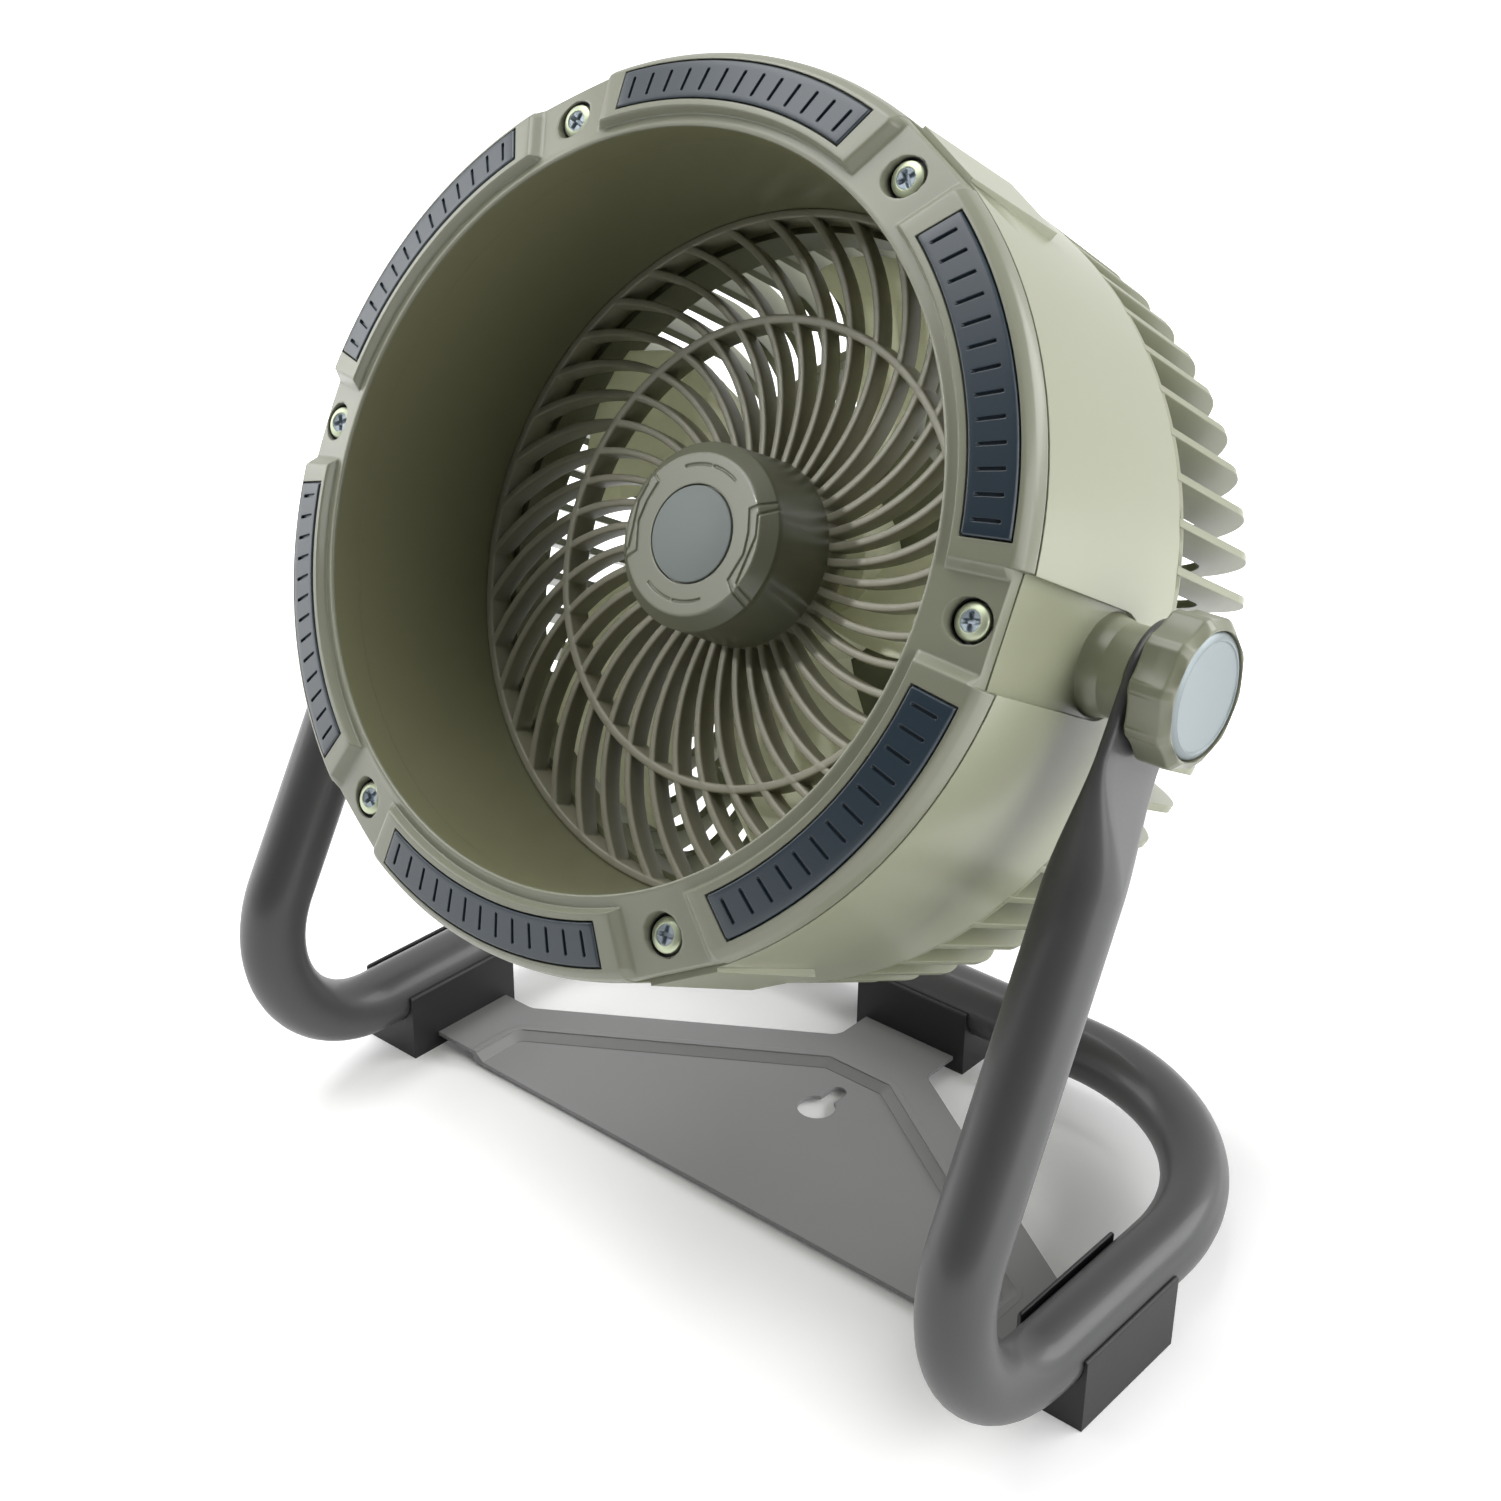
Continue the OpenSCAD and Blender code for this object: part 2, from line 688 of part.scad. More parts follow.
// A rubber channel of the given length along Y, under a tube at the height foot_z
module foot_clip(len) {
    edge = 1;
    difference() {
        rotate([90, 0, 0]) linear_extrude(len, center = true) difference() {
            union() {
                translate([-clip_hw, 0]) square([2 * clip_hw, foot_z + clip_rise - edge]);
                translate([-clip_hw + edge, 0]) square([2 * (clip_hw - edge), foot_z + clip_rise]);
                for (m = [-1, 1]) translate([m * (clip_hw - edge), foot_z + clip_rise - edge]) circle(edge);
            }
            translate([0, foot_z]) circle(tube_r + fit_gap / 2);
            translate([-tube_r - fit_gap / 2, foot_z]) square([tube_d + fit_gap, clip_rise + 1]);
        }
        for (m = [-1, 1]) translate([0, m * len / 4, 0]) {
            translate([0, 0, -1]) cylinder(r = foot_head_r + 0.3, h = foot_head_z + screw_head_h + 1);
            cylinder(r = foot_screw_r + screw_clear, h = foot_z);
        }
    }
}

// A clip with the slot that holds the plate's tab
module slotted_clip() {
    difference() {
        children();
        translate([0, 0, rim_z - sheet_t]) linear_extrude(sheet_t) plate_outline();
    }
}

module foot_clip_side(side) {
    color(rubber_black) slotted_clip() translate([side * foot_x, side_clip_y, 0]) foot_clip(side_clip_len);
}

module foot_clip_rear() {
    color(rubber_black) slotted_clip() translate([0, rear_y, 0]) rotate([0, 0, 90]) foot_clip(rear_clip_len);
}

// A pan-head screw pointing down along -Z, with its head's underside at z = 0
module pan_screw(r, head_r, head_h, len) {
    translate([0, 0, -len]) cylinder(r = r, h = len + eps);
    rotate_extrude() intersection() {
        square([head_r, head_h]);
        translate([0, head_h - head_r * 1.8]) circle(head_r * 1.8);
    }
}

module foot_screws() {
    color(zinc) foot_screw_places() translate([0, 0, foot_head_z + screw_head_h]) mirror([0, 0, 1])
        pan_screw(foot_screw_r, foot_head_r, screw_head_h, foot_h + tube_wall - foot_head_z - screw_head_h);
}

module pivot_washer(side) {
    color(rubber_black) on_side(side) translate([0, pivot_y, pivot_z]) along_x(boss_x + face_gap)
        ring(stud_d / 2 + stud_clear, boss_r, pivot_washer_t);
}

// ---------------------------------------------------------------- bezel

// Points of an arc round a centre, from one angle to another
function arc(c, r, a0, a1, n) = [for (i = [0:n]) c + r * [cos(a0 + (a1 - a0) * i / n), sin(a0 + (a1 - a0) * i / n)]];

module bezel_section() {
    polygon(concat(
        [[lip_r, seam_z]],
        arc([lip_r + lip_round, face_z - lip_round], lip_round, 180, 90, 5),
        [[sector_r + raise_ledge, face_z], [body_r - bezel_chamfer / 2, face_z - bezel_chamfer], [body_r, seam_z]]));
}

// Blocks of material behind the side recesses
module pocket_block(wall) {
    for (side = [-1, 1]) on_side(side)
        translate([pocket_x - wall, -pocket_hw - wall, -pocket_hw - wall])
            cube([pocket_d + wall + 5, 2 * (pocket_hw + wall), seam_z + bezel_h + 5 + pocket_hw + wall]);
}

// The side recesses themselves: slots with a round end about the pivot
module pocket_cut() {
    for (side = [-1, 1]) on_side(side) {
        translate([pocket_x, -pocket_hw, 0]) cube([3 * pocket_d, 2 * pocket_hw, face_z + 2 * raise_h]);
        along_x(pocket_x) cylinder(r = pocket_hw, h = 3 * pocket_d);
    }
}

module each_screw() {
    for (i = [0:5]) rotate([0, 0, 60 * i]) translate([screw_r, 0, 0]) children();
}

module raised_sector() {
    difference() {
        translate([0, 0, face_z - 1]) sector(raise_in, sector_r, raise_h + 1, raise_a);
        for (m = [0, 1]) mirror([0, m, 0]) rotate([0, 0, raise_a / 2]) translate([0, 0, face_z])
            rotate([raise_slope, 0, 0]) translate([0, 0, -eps]) cube([body_r + pocket_d, 5 * raise_h, 5 * raise_h]);
    }
}

module front_bezel() {
    cavity_in = lip_r + duct_wall + 2;
    cavity_h = bezel_h - shell_wall;
    color(olive) head_place() difference() {
        union() {
            difference() {
                rotate_extrude() bezel_section();
                difference() {
                    translate([0, 0, seam_z - 1]) ring(cavity_in, body_r - shell_wall, cavity_h + 1);
                    each_screw() cylinder(r = counterbore_d / 2 + 1.6, h = face_z);
                    pocket_block(shell_wall);
                }
            }
            for (i = [0:5]) rotate([0, 0, 60 * i + 30]) raised_sector();
        }
        for (i = [0:5]) rotate([0, 0, 60 * i + 30]) translate([0, 0, pad_floor_z])
            sector(pad_in - pad_gap, pad_out + pad_gap, pad_h, pad_a + pad_gap_a);
        each_screw() {
            translate([0, 0, screw_seat_z]) cylinder(d = counterbore_d, h = counterbore_h + raise_h + 1);
            translate([0, 0, seam_z - 1]) cylinder(r = screw_d / 2 + screw_clear, h = bezel_h);
        }
        pocket_cut();
        for (i = [1, 2, 4, 5]) rotate([0, 0, 60 * i])
            translate([gap_flat_x, -pocket_hw, seam_z - 1]) cube([pocket_d, 2 * pocket_hw, bezel_h + raise_h + 2]);
    }
}

// The pads' end clearance, as an angle
pad_gap_a = 2 * pad_gap / pad_in * 180 / PI;

module bezel_pad(i) {
    top_z = pad_floor_z + pad_h;
    color(slate) head_place() rotate([0, 0, 60 * i - 30]) difference() {
        translate([0, 0, pad_floor_z]) sector(pad_in, pad_out, pad_h, pad_a);
        for (k = [0:notch_count - 1]) rotate([0, 0, (k - (notch_count - 1) / 2) * notch_pitch])
            translate([notch_in, -notch_w / 2, top_z - notch_d]) cube([notch_len, notch_w, notch_d + 1]);
    }
}

module bezel_screws() {
    color(zinc) head_place() each_screw() translate([0, 0, screw_seat_z])
        pan_screw(screw_d / 2, screw_head_d / 2, screw_head_h, screw_len);
}

// ---------------------------------------------------------------- duct and grille

module air_duct() {
    seat_r = rim_r + fit_gap;
    flange_r = pocket_x - shell_wall - 1;
    color(olive) head_place() difference() {
        rotate_extrude() polygon([[lip_r, seam_z], [seat_r, grille_z], [seat_r, grille_back_z],
            [shroud_r, grille_back_z], [shroud_r, grille_back_z - shroud_h],
            [shroud_r + duct_wall, grille_back_z - shroud_h], [shroud_r + duct_wall, grille_back_z - duct_wall],
            [seat_r + duct_wall, grille_back_z - duct_wall], [lip_r + duct_wall, seam_z - flange_t],
            [flange_r, seam_z - flange_t], [flange_r, seam_z]]);
        each_screw() translate([0, 0, seam_z - flange_t - 1]) cylinder(r = screw_d / 2 + screw_clear, h = flange_t + 2);
    }
}

// Angle of a rib's middle line at radius r
function rib_angle(r) = rib_sweep * pow((r - hub_r) / (rim_r - hub_r), rib_bend);

// Slope of that line: radians of turn per millimetre
function rib_slope(r) = rib_sweep * PI / 180 * rib_bend * pow((r - hub_r) / (rim_r - hub_r), rib_bend - 1)
    / (rim_r - hub_r);

// Half of the rib's thickness at radius r, as an angle
function rib_half(r) = rib_w / 2 / r * 180 / PI * sqrt(1 + pow(r * rib_slope(r), 2));

function rib_point(r, side) = r * [cos(rib_angle(r) + side * rib_half(r)), sin(rib_angle(r) + side * rib_half(r))];

module grille_rib() {
    steps = 7;
    root_r = hub_r + hub_wall / 2;
    radii = [for (i = [0:steps]) root_r + (rim_r - rim_w / 2 - root_r) * i / steps];
    translate([0, 0, rib_inset]) linear_extrude(rib_h - 2 * rib_inset) polygon(concat(
        [[hub_r - hub_wall / 2, -rib_w / 2]], [for (r = radii) rib_point(r, -1)],
        [for (i = [steps:-1:0]) rib_point(radii[i], 1)], [[hub_r - hub_wall / 2, rib_w / 2]]));
}

module front_grille() {
    color(olive) head_place() translate([0, 0, grille_back_z]) {
        ring(rim_r - rim_w, rim_r, rib_h);
        ring(mid_ring_r - mid_ring_w / 2, mid_ring_r + mid_ring_w / 2, rib_h);
        ring(hub_r - hub_wall, hub_r, rib_h);
        for (i = [0:rib_count - 1]) rotate([0, 0, 360 / rib_count * i]) grille_rib();
    }
}

// The groove beside the disc: an arc whose ends turn outwards
module hub_groove() {
    sector(hub_groove_r - hub_groove_w / 2, hub_groove_r + hub_groove_w / 2, 2, 2 * hub_groove_a);
    for (m = [-1, 1]) rotate([0, 0, m * hub_groove_a])
        translate([hub_groove_r - hub_groove_w / 2, -hub_groove_w / 2, 0]) cube([hub_front_r - disc_r, hub_groove_w, 2]);
}

module hub_cap() {
    plug_r = hub_r - hub_wall - fit_gap;
    color(olive) head_place() difference() {
        rotate_extrude() polygon([[plug_r - hub_wall, grille_z - hub_plug], [plug_r, grille_z - hub_plug],
            [plug_r, grille_z], [hub_r, grille_z], [hub_front_r, hub_face_z - hub_chamfer],
            [hub_front_r - hub_chamfer, hub_face_z], [0, hub_face_z], [0, hub_face_z - disc_h - hub_wall],
            [plug_r - hub_wall, hub_face_z - hub_chamfer - hub_wall]]);
        translate([0, 0, hub_face_z + disc_proud - disc_h]) cylinder(r = disc_r + pad_gap, h = disc_h);
        for (a = [0, 180]) rotate([0, 0, a]) translate([0, 0, hub_face_z - hub_groove_d]) hub_groove();
        for (a = [76, 256], m = [0, 1]) mirror([m, 0, 0]) rotate([0, 0, a])
            translate([0, 0, hub_face_z - hub_groove_d])
                sector(hub_groove_r - 0.7 * hub_groove_w, hub_groove_r - 0.4 * hub_groove_w, 2, 26);
    }
}

module hub_disc() {
    color(silver) head_place() translate([0, 0, hub_face_z + disc_proud - disc_h]) cylinder(r = disc_r, h = disc_h);
}

// ---------------------------------------------------------------- barrel

module barrel_skin() {
    translate([0, 0, barrel_back_z]) cylinder(r1 = barrel_back_r, r2 = body_r, h = barrel_len);
    for (i = [1, 2, 4, 5]) rotate([0, 0, 60 * i])
        translate([body_r / 2, -strip_hw, seam_z - strip_len]) cube([body_r / 2 + strip_h, 2 * strip_hw, strip_len]);
}

module barrel_hollow() {
    difference() {
        translate([0, 0, barrel_back_z - eps])
            cylinder(r1 = barrel_back_r - shell_wall, r2 = body_r - shell_wall, h = barrel_len + 2 * eps);
        pocket_block(shell_wall);
    }
}

guard_ring_in = barrel_back_r - fin_side_d;

module guard_screw_places() {
    for (i = [0:5]) rotate([0, 0, 60 * i + fin_phase + 180 / fin_count]) translate([guard_screw_r, 0, 0]) children();
}

// The posts that the bezel's screws go into, each tied to the wall by a rib
module barrel_posts() {
    for (i = [0:5]) rotate([0, 0, 60 * i]) translate([screw_r, 0, post_z]) {
        cylinder(r = screw_d / 2 + post_wall, h = post_len);
        translate([0, -post_wall / 2, 0]) cube([body_r - screw_r - shell_wall / 2, post_wall, post_len]);
    }
}

// A round boss on the floor of each side recess, with a spread foot
module pivot_bosses() {
    for (side = [-1, 1]) on_side(side) {
        along_x(pocket_x - shell_wall / 2) cylinder(r1 = pocket_hw - 0.4, r2 = boss_r, h = shell_wall + 4.5);
        along_x(insert_x - 2) cylinder(r = boss_r, h = boss_x - insert_x + 2);
    }
}

module barrel() {
    color(khaki) head_place() difference() {
        union() {
            difference() {
                union() {
                    difference() {
                        barrel_skin();
                        barrel_hollow();
                    }
                    barrel_posts();
                }
                pocket_cut();
            }
            pivot_bosses();
            translate([0, 0, barrel_back_z])
                ring(guard_ring_in, barrel_back_r - shell_wall / 2, barrel_flange_t);
        }
        for (side = [-1, 1]) on_side(side) along_x(insert_x) cylinder(d = insert_d, h = insert_len + 1);
        each_screw() translate([0, 0, post_z + 2]) cylinder(r = screw_d / 2 + fit_gap / 2, h = post_len);
        guard_screw_places() translate([0, 0, barrel_back_z - 1])
            cylinder(r = guard_screw_d / 2 + fit_gap / 2, h = barrel_flange_t + 2);
    }
}

post_z = seam_z - flange_t - post_len;
barrel_flange_t = 3;

module pivot_insert(side) {
    color(brass) head_place() on_side(side) along_x(insert_x) ring(stud_d / 2 + run_gap, insert_d / 2, insert_len);
}

// ---------------------------------------------------------------- rear guard

// One fin's outline, radius along X and the head's axis along Y
module fin_outline(side_d, back_d) {
    corner_z = guard_back_z + guard_round;
    corner_r = guard_corner_r;
    inner_round = guard_round - back_d;
    difference() {
        union() {
            polygon([[0, barrel_back_z], [barrel_back_r, barrel_back_z], [corner_r + guard_round, corner_z], [0, corner_z]]);
            translate([0, guard_back_z]) square([corner_r, guard_round]);
            translate([corner_r, corner_z]) circle(guard_round);
        }
        polygon([[0, barrel_back_z + 1], [barrel_back_r - side_d, barrel_back_z + 1],
            [corner_r + guard_round - side_d, corner_z], [0, corner_z]]);
        translate([0, guard_back_z + back_d]) square([corner_r + guard_round - side_d - inner_round, guard_round]);
        translate([corner_r + guard_round - side_d - inner_round, corner_z]) circle(inner_round);
        square([2 * pod_ring_in, 4 * body_r], center = true);
    }
}

pod_ring_in = pod_r + fit_gap;
pod_ring_out = pod_r + 3.4;

module rear_guard() {
    color(khaki) head_place() difference() {
        union() {
            translate([0, 0, barrel_back_z - guard_ring_t]) ring(guard_ring_in, barrel_back_r - 0.4, guard_ring_t);
            translate([0, 0, guard_back_z]) ring(pod_ring_in, pod_ring_out, fin_back_d + 2);
            translate([0, 0, guard_back_z + 1]) ring(back_ring_r - back_ring_w / 2, back_ring_r + back_ring_w / 2, fin_back_d - 1);
            for (i = [0:fin_count - 1]) rotate([0, 0, 360 / fin_count * i + fin_phase])
                rotate([90, 0, 0]) linear_extrude(fin_w, center = true) fin_outline(fin_side_d, fin_back_d);
        }
        guard_screw_places() translate([0, 0, barrel_back_z - guard_ring_t - 1])
            cylinder(r = guard_screw_d / 2 + screw_clear, h = guard_ring_t + 2);
    }
}

module guard_screws() {
    color(zinc) head_place() guard_screw_places() translate([0, 0, barrel_back_z - guard_ring_t]) mirror([0, 0, 1])
        pan_screw(guard_screw_d / 2, guard_screw_d * 0.95, guard_screw_d * 0.7, guard_screw_len);
}

// ---------------------------------------------------------------- pod, motor and battery

motor_front_z = pod_front_z - shell_wall;
motor_back_z = motor_front_z - motor_len;
cell_z = motor_back_z - 1 - cell_d / 2;
board_z = cell_z - cell_d / 2 - 1.2;
cover_post_r = 3.4;

module cover_screw_places() {
    for (a = [0:90:270]) rotate([0, 0, a]) translate([cover_screw_r, 0, 0]) children();
}

module motor_housing() {
    color(olive) head_place() difference() {
        union() {
            difference() {
                translate([0, 0, pod_back_z]) cylinder(r = pod_r, h = pod_len);
                translate([0, 0, pod_back_z - 1]) cylinder(r = pod_r - pod_wall, h = pod_len - shell_wall + 1);
            }
            translate([0, 0, guard_back_z + fin_back_d + 2]) ring(pod_r - eps, pod_ring_out, 2.4);
            cover_screw_places() translate([0, 0, pod_back_z]) cylinder(r = cover_post_r, h = pod_len - 1);
        }
        translate([0, 0, pod_front_z - shell_wall - 1]) cylinder(r = motor_nose_r + fit_gap, h = shell_wall + 2);
        cover_screw_places() translate([0, 0, pod_back_z - 1])
            cylinder(r = guard_screw_d / 2 + fit_gap / 2, h = cover_screw_len);
    }
}

motor_nose_r = bearing_d / 2 + motor_wall;

module motor_case() {
    color(zinc) head_place() difference() {
        union() {
            translate([0, 0, motor_back_z]) cylinder(r = motor_r, h = motor_len);
            translate([0, 0, motor_front_z - eps]) cylinder(r = motor_nose_r, h = shell_wall + 1);
        }
        translate([0, 0, motor_back_z + bearing_w + 1]) cylinder(r = motor_r - motor_wall, h = motor_len - bearing_w - 1 - motor_wall);
        for (z = [motor_back_z - 1, pod_front_z + 1 - bearing_w]) translate([0, 0, z])
            cylinder(d = bearing_d + 2 * eps, h = bearing_w + 1);
        translate([0, 0, motor_back_z]) cylinder(r = shaft_d / 2 + 1, h = motor_len + 10);
    }
}

// Three stator teeth groups round the rotor, as one laminated ring with slots
module motor_stator() {
    core_z = motor_back_z + bearing_w + 2;
    core_h = motor_len - bearing_w - motor_wall - 3;
    color(copper) head_place() translate([0, 0, core_z]) difference() {
        ring(rotor_core_r + 0.4, motor_r - motor_wall - fit_gap, core_h);
        for (i = [0:8]) rotate([0, 0, 40 * i]) translate([(motor_r + rotor_core_r) / 2, 0, -1])
            cylinder(r = 1.8, h = core_h + 2);
    }
}

rotor_core_r = motor_r * 0.52;

module motor_bearings() {
    color(zinc) head_place() for (z = [motor_back_z, pod_front_z + 1 - bearing_w]) translate([0, 0, z])
        ring(shaft_d / 2 + run_gap, bearing_d / 2, bearing_w);
}

module cell_places() {
    for (i = [0:cell_count - 1]) translate([(i - (cell_count - 1) / 2) * (cell_d + cell_gap), 0, cell_z]) children();
}

module battery_cells() {
    color(leaf) head_place() cell_places() rotate([90, 0, 0]) cylinder(d = cell_d, h = cell_len, center = true);
}

module battery_holder() {
    color(rubber_black) head_place() for (m = [0, 1]) mirror([0, m, 0]) difference() {
        translate([-tray_w / 2, cell_len / 2 - 3 * cell_hold, cell_z - cell_d / 2 - 1])
            cube([tray_w, 4 * cell_hold, cell_d / 2 + 1]);
        cell_places() rotate([90, 0, 0]) cylinder(d = cell_d + 2 * fit_gap, h = cell_len + fit_gap, center = true);
    }
}

module control_board() {
    color([0.10, 0.32, 0.18]) head_place() difference() {
        translate([0, 0, board_z - board_t]) cylinder(r = cover_screw_r - cover_post_r - 1, h = board_t);
        translate([0, dial_y, board_z - board_t - 1]) cylinder(r = spindle_d / 2 + 1, h = board_t + 2);
    }
}

module charge_port() {
    port_len = board_z - board_t - cover_back_z - 1.4;
    color(silver) head_place() translate([-port_w / 2, -port_y - port_h / 2, cover_back_z + 1.4]) difference() {
        cube([port_w, port_h, port_len]);
        translate([0.4, 0.4, -1]) cube([port_w - 0.8, port_h - 0.8, port_len - 1]);
    }
}

module dial_encoder() {
    size = 2 * spindle_d;
    under_board = board_z - board_t - cover_back_z - pod_wall;
    high = 0.4 * under_board;
    color(rubber_black) head_place() translate([0, dial_y, board_z - board_t - high]) difference() {
        translate([-size / 2, -size / 2, 0]) cube([size, size, high]);
        translate([0, 0, -1]) cylinder(r = spindle_d / 2 + run_gap, h = high + 2);
    }
}

// Places of the flap and its pin on the rear cover
flap_ear_w = 1.8;
flap_w = port_w + 2 * flap_margin;
flap_h = port_h + 2 * flap_margin;
flap_pin_y = -port_y - flap_h / 2 - 1;
flap_pin_z = cover_back_z - 0.3 - flap_t / 2;

module flap_ears() {
    for (m = [0, 1]) mirror([m, 0, 0]) translate([flap_w / 4 + 0.2, flap_pin_y, flap_pin_z]) {
        translate([0, -flap_t / 2 - 1, 0]) cube([flap_ear_w, flap_t + 2, cover_back_z - flap_pin_z + 0.5]);
        rotate([0, 90, 0]) cylinder(d = flap_t + 2, h = flap_ear_w);
    }
}

module rear_cover() {
    color(khaki) head_place() difference() {
        union() {
            rear_cover_shell();
            flap_ears();
        }
        translate([0, flap_pin_y, flap_pin_z]) rotate([0, 90, 0])
            cylinder(r = flap_t / 2 + run_gap, h = flap_w, center = true);
    }
}

module rear_cover_shell() {
    difference() {
        rotate_extrude() polygon(concat(
            [[0, cover_back_z + pod_wall], [pod_r - pod_wall - cover_round, cover_back_z + pod_wall],
                [pod_r - pod_wall, pod_back_z - 1], [pod_r - pod_wall, pod_back_z], [pod_ring_out, pod_back_z]],
            arc([pod_ring_out - cover_round, cover_back_z + cover_round], cover_round, 0, -90, 6),
            [[0, cover_back_z]]));
        translate([0, dial_y, cover_back_z - 1]) cylinder(r = spindle_d / 2 + 0.6, h = pod_wall + 2);
        translate([-port_w / 2 - 0.3, -port_y - port_h / 2 - 0.3, cover_back_z - 1])
            cube([port_w + 0.6, port_h + 0.6, pod_wall + 2]);
        cover_screw_places() {
            translate([0, 0, cover_back_z - 1]) cylinder(r = guard_screw_d + 0.3, h = 3.4);
            translate([0, 0, cover_back_z]) cylinder(r = guard_screw_d / 2 + screw_clear, h = cover_h + 1);
        }
    }
}

module cover_screws() {
    color(zinc) head_place() cover_screw_places() translate([0, 0, cover_back_z + 2.4]) mirror([0, 0, 1])
        pan_screw(guard_screw_d / 2, guard_screw_d * 0.95, 2, cover_screw_len);
}

module speed_dial() {
    flutes = 18;
    color(rubber_black) head_place() translate([0, dial_y, 0]) {
        translate([0, 0, cover_back_z - 0.4 - dial_h]) difference() {
            rotate_extrude() polygon([[0, 0], [dial_r - 1.4, 0], [dial_r - 0.6, 0.8], [dial_r, dial_h], [0, dial_h]]);
            for (i = [0:flutes - 1]) rotate([0, 0, 360 / flutes * i]) translate([dial_r + 0.5, 0, -1])
                cylinder(r = 1.1, h = dial_h - 1);
            translate([-0.6, dial_r - 6, -1]) cube([1.2, 4, 1.6]);
        }
        translate([0, 0, cover_back_z - 1]) cylinder(d = spindle_d, h = board_z - board_t - 1 - cover_back_z);
    }
}

// The flap covers the socket, and turns on a pin between two ears below it
module port_flap() {
    color(rubber_black) head_place() {
        translate([-flap_w / 2, flap_pin_y + flap_t + 0.8, flap_pin_z - flap_t / 2])
            cube([flap_w, flap_h - flap_t, flap_t]);
        translate([-flap_w / 4, flap_pin_y, flap_pin_z - flap_t / 2]) cube([flap_w / 2, flap_t + 1, flap_t]);
        translate([0, flap_pin_y, flap_pin_z]) rotate([0, 90, 0])
            cylinder(d = flap_t, h = flap_w / 2 + 2 * flap_ear_w + 0.4, center = true);
    }
}

// ---------------------------------------------------------------- impeller

function mix(a, b, t) = a + (b - a) * t;

// One blade section at the share t of the span: a thin curved strip laid on a cylinder
function blade_section(t) =
    let (n = 8, r = mix(rotor_r - 0.6 * rotor_wall, blade_r, t), c = mix(chord_root, chord_tip, t),
        p = mix(pitch_root, pitch_tip, t), mid_z = (rotor_front_z + rotor_back_z) / 2,
        edge = function (u, side)
            let (thick = side * blade_t / 2 * sqrt(max(0, 1 - pow(u, 4))), curve = blade_camber * (1 - u * u),
                along = u * c / 2 * cos(p) + (curve + thick) * sin(p),
                up = -u * c / 2 * sin(p) + (curve + thick) * cos(p),
                a = blade_sweep * t * t + along / r * 180 / PI)
            [r * cos(a), r * sin(a), mid_z + up])
    concat([for (i = [0:n]) edge(-1 + 2 * i / n, 1)], [for (i = [n - 1:-1:1]) edge(-1 + 2 * i / n, -1)]);

// Skins a list of closed sections of n points, where point i lies opposite point n - i
module loft(sections) {
    n = len(sections[0]);
    m = len(sections);
    points = [for (s = sections, p = s) p];
    sides = [for (j = [0:m - 2], i = [0:n - 1]) let (k = (i + 1) % n)
        each [[j * n + i, (j + 1) * n + k, (j + 1) * n + i], [j * n + i, j * n + k, (j + 1) * n + k]]];
    first = [for (i = [1:n / 2 - 1]) each [[i + 1, i, n - i], [n - i, i, (n - i + 1) % n]]];
    last = [for (f = first) [for (k = [2:-1:0]) f[k] + (m - 1) * n]];
    polyhedron(points, concat(sides, first, last), convexity = 4);
}

module impeller() {
    spans = 6;
    color(leaf) head_place() difference() {
        union() {
            translate([0, 0, rotor_back_z]) rotate_extrude() polygon([[rotor_r - rotor_wall, 0], [rotor_r, 0],
                [rotor_r, rotor_len - rotor_nose], [rotor_r - rotor_nose, rotor_len], [0, rotor_len],
                [0, rotor_len - 1.25 * rotor_wall], [rotor_r - 1.25 * rotor_nose, rotor_len - 1.25 * rotor_wall],
                [rotor_r - rotor_wall, rotor_len - 1.5 * rotor_nose]]);
            translate([0, 0, rotor_back_z + 3]) cylinder(r = shaft_d / 2 + 1.5 * rotor_wall, h = rotor_len - rotor_nose);
            for (i = [0:blade_count - 1]) rotate([0, 0, 360 / blade_count * i])
                loft([for (j = [0:spans]) blade_section(j / spans)]);
        }
        translate([0, 0, rotor_back_z - 1]) cylinder(r = shaft_d / 2 + fit_gap / 2, h = rotor_len + 2);
    }
}

module motor_rotor() {
    color(steel_grey) head_place() translate([0, 0, motor_back_z + bearing_w + 2.5])
        ring(shaft_d / 2, rotor_core_r, motor_len - bearing_w - motor_wall - 4);
}

module motor_shaft() {
    color(zinc) head_place() translate([0, 0, motor_back_z]) cylinder(d = shaft_d, h = rotor_front_z - motor_back_z + 2.6);
}

module impeller_nut() {
    color(zinc) head_place() translate([0, 0, rotor_front_z]) ring(shaft_d / 2, 4, 2.4);
}

// ---------------------------------------------------------------- knobs

module knob_grip(side) {
    color(olive) on_side(side) translate([0, pivot_y, pivot_z]) along_x(knob_x) difference() {
        rotate_extrude() polygon([[0, 0], [knob_r, 0], [knob_r, knob_h - knob_chamfer],
            [knob_r - knob_chamfer, knob_h], [0, knob_h]]);
        for (i = [0:flute_count - 1]) rotate([0, 0, 360 / flute_count * i])
            translate([knob_r + flute_r - flute_d, 0, -1]) cylinder(r = flute_r, h = knob_h + 2);
        translate([0, 0, knob_h - knob_disc_h]) cylinder(r = knob_disc_r + fit_gap, h = knob_disc_h + 1);
        translate([0, 0, -1]) cylinder(d = stud_d, h = stud_out_x - knob_x + 1);
    }
}

module knob_disc(side) {
    color(silver) on_side(side) translate([0, pivot_y, pivot_z]) along_x(knob_x + knob_h - knob_disc_h)
        cylinder(r = knob_disc_r, h = knob_disc_h + 0.4);
}

module clamp_stud(side) {
    color(zinc) on_side(side) translate([0, pivot_y, pivot_z]) along_x(stud_in_x)
        cylinder(d = stud_d, h = stud_out_x - stud_in_x);
}

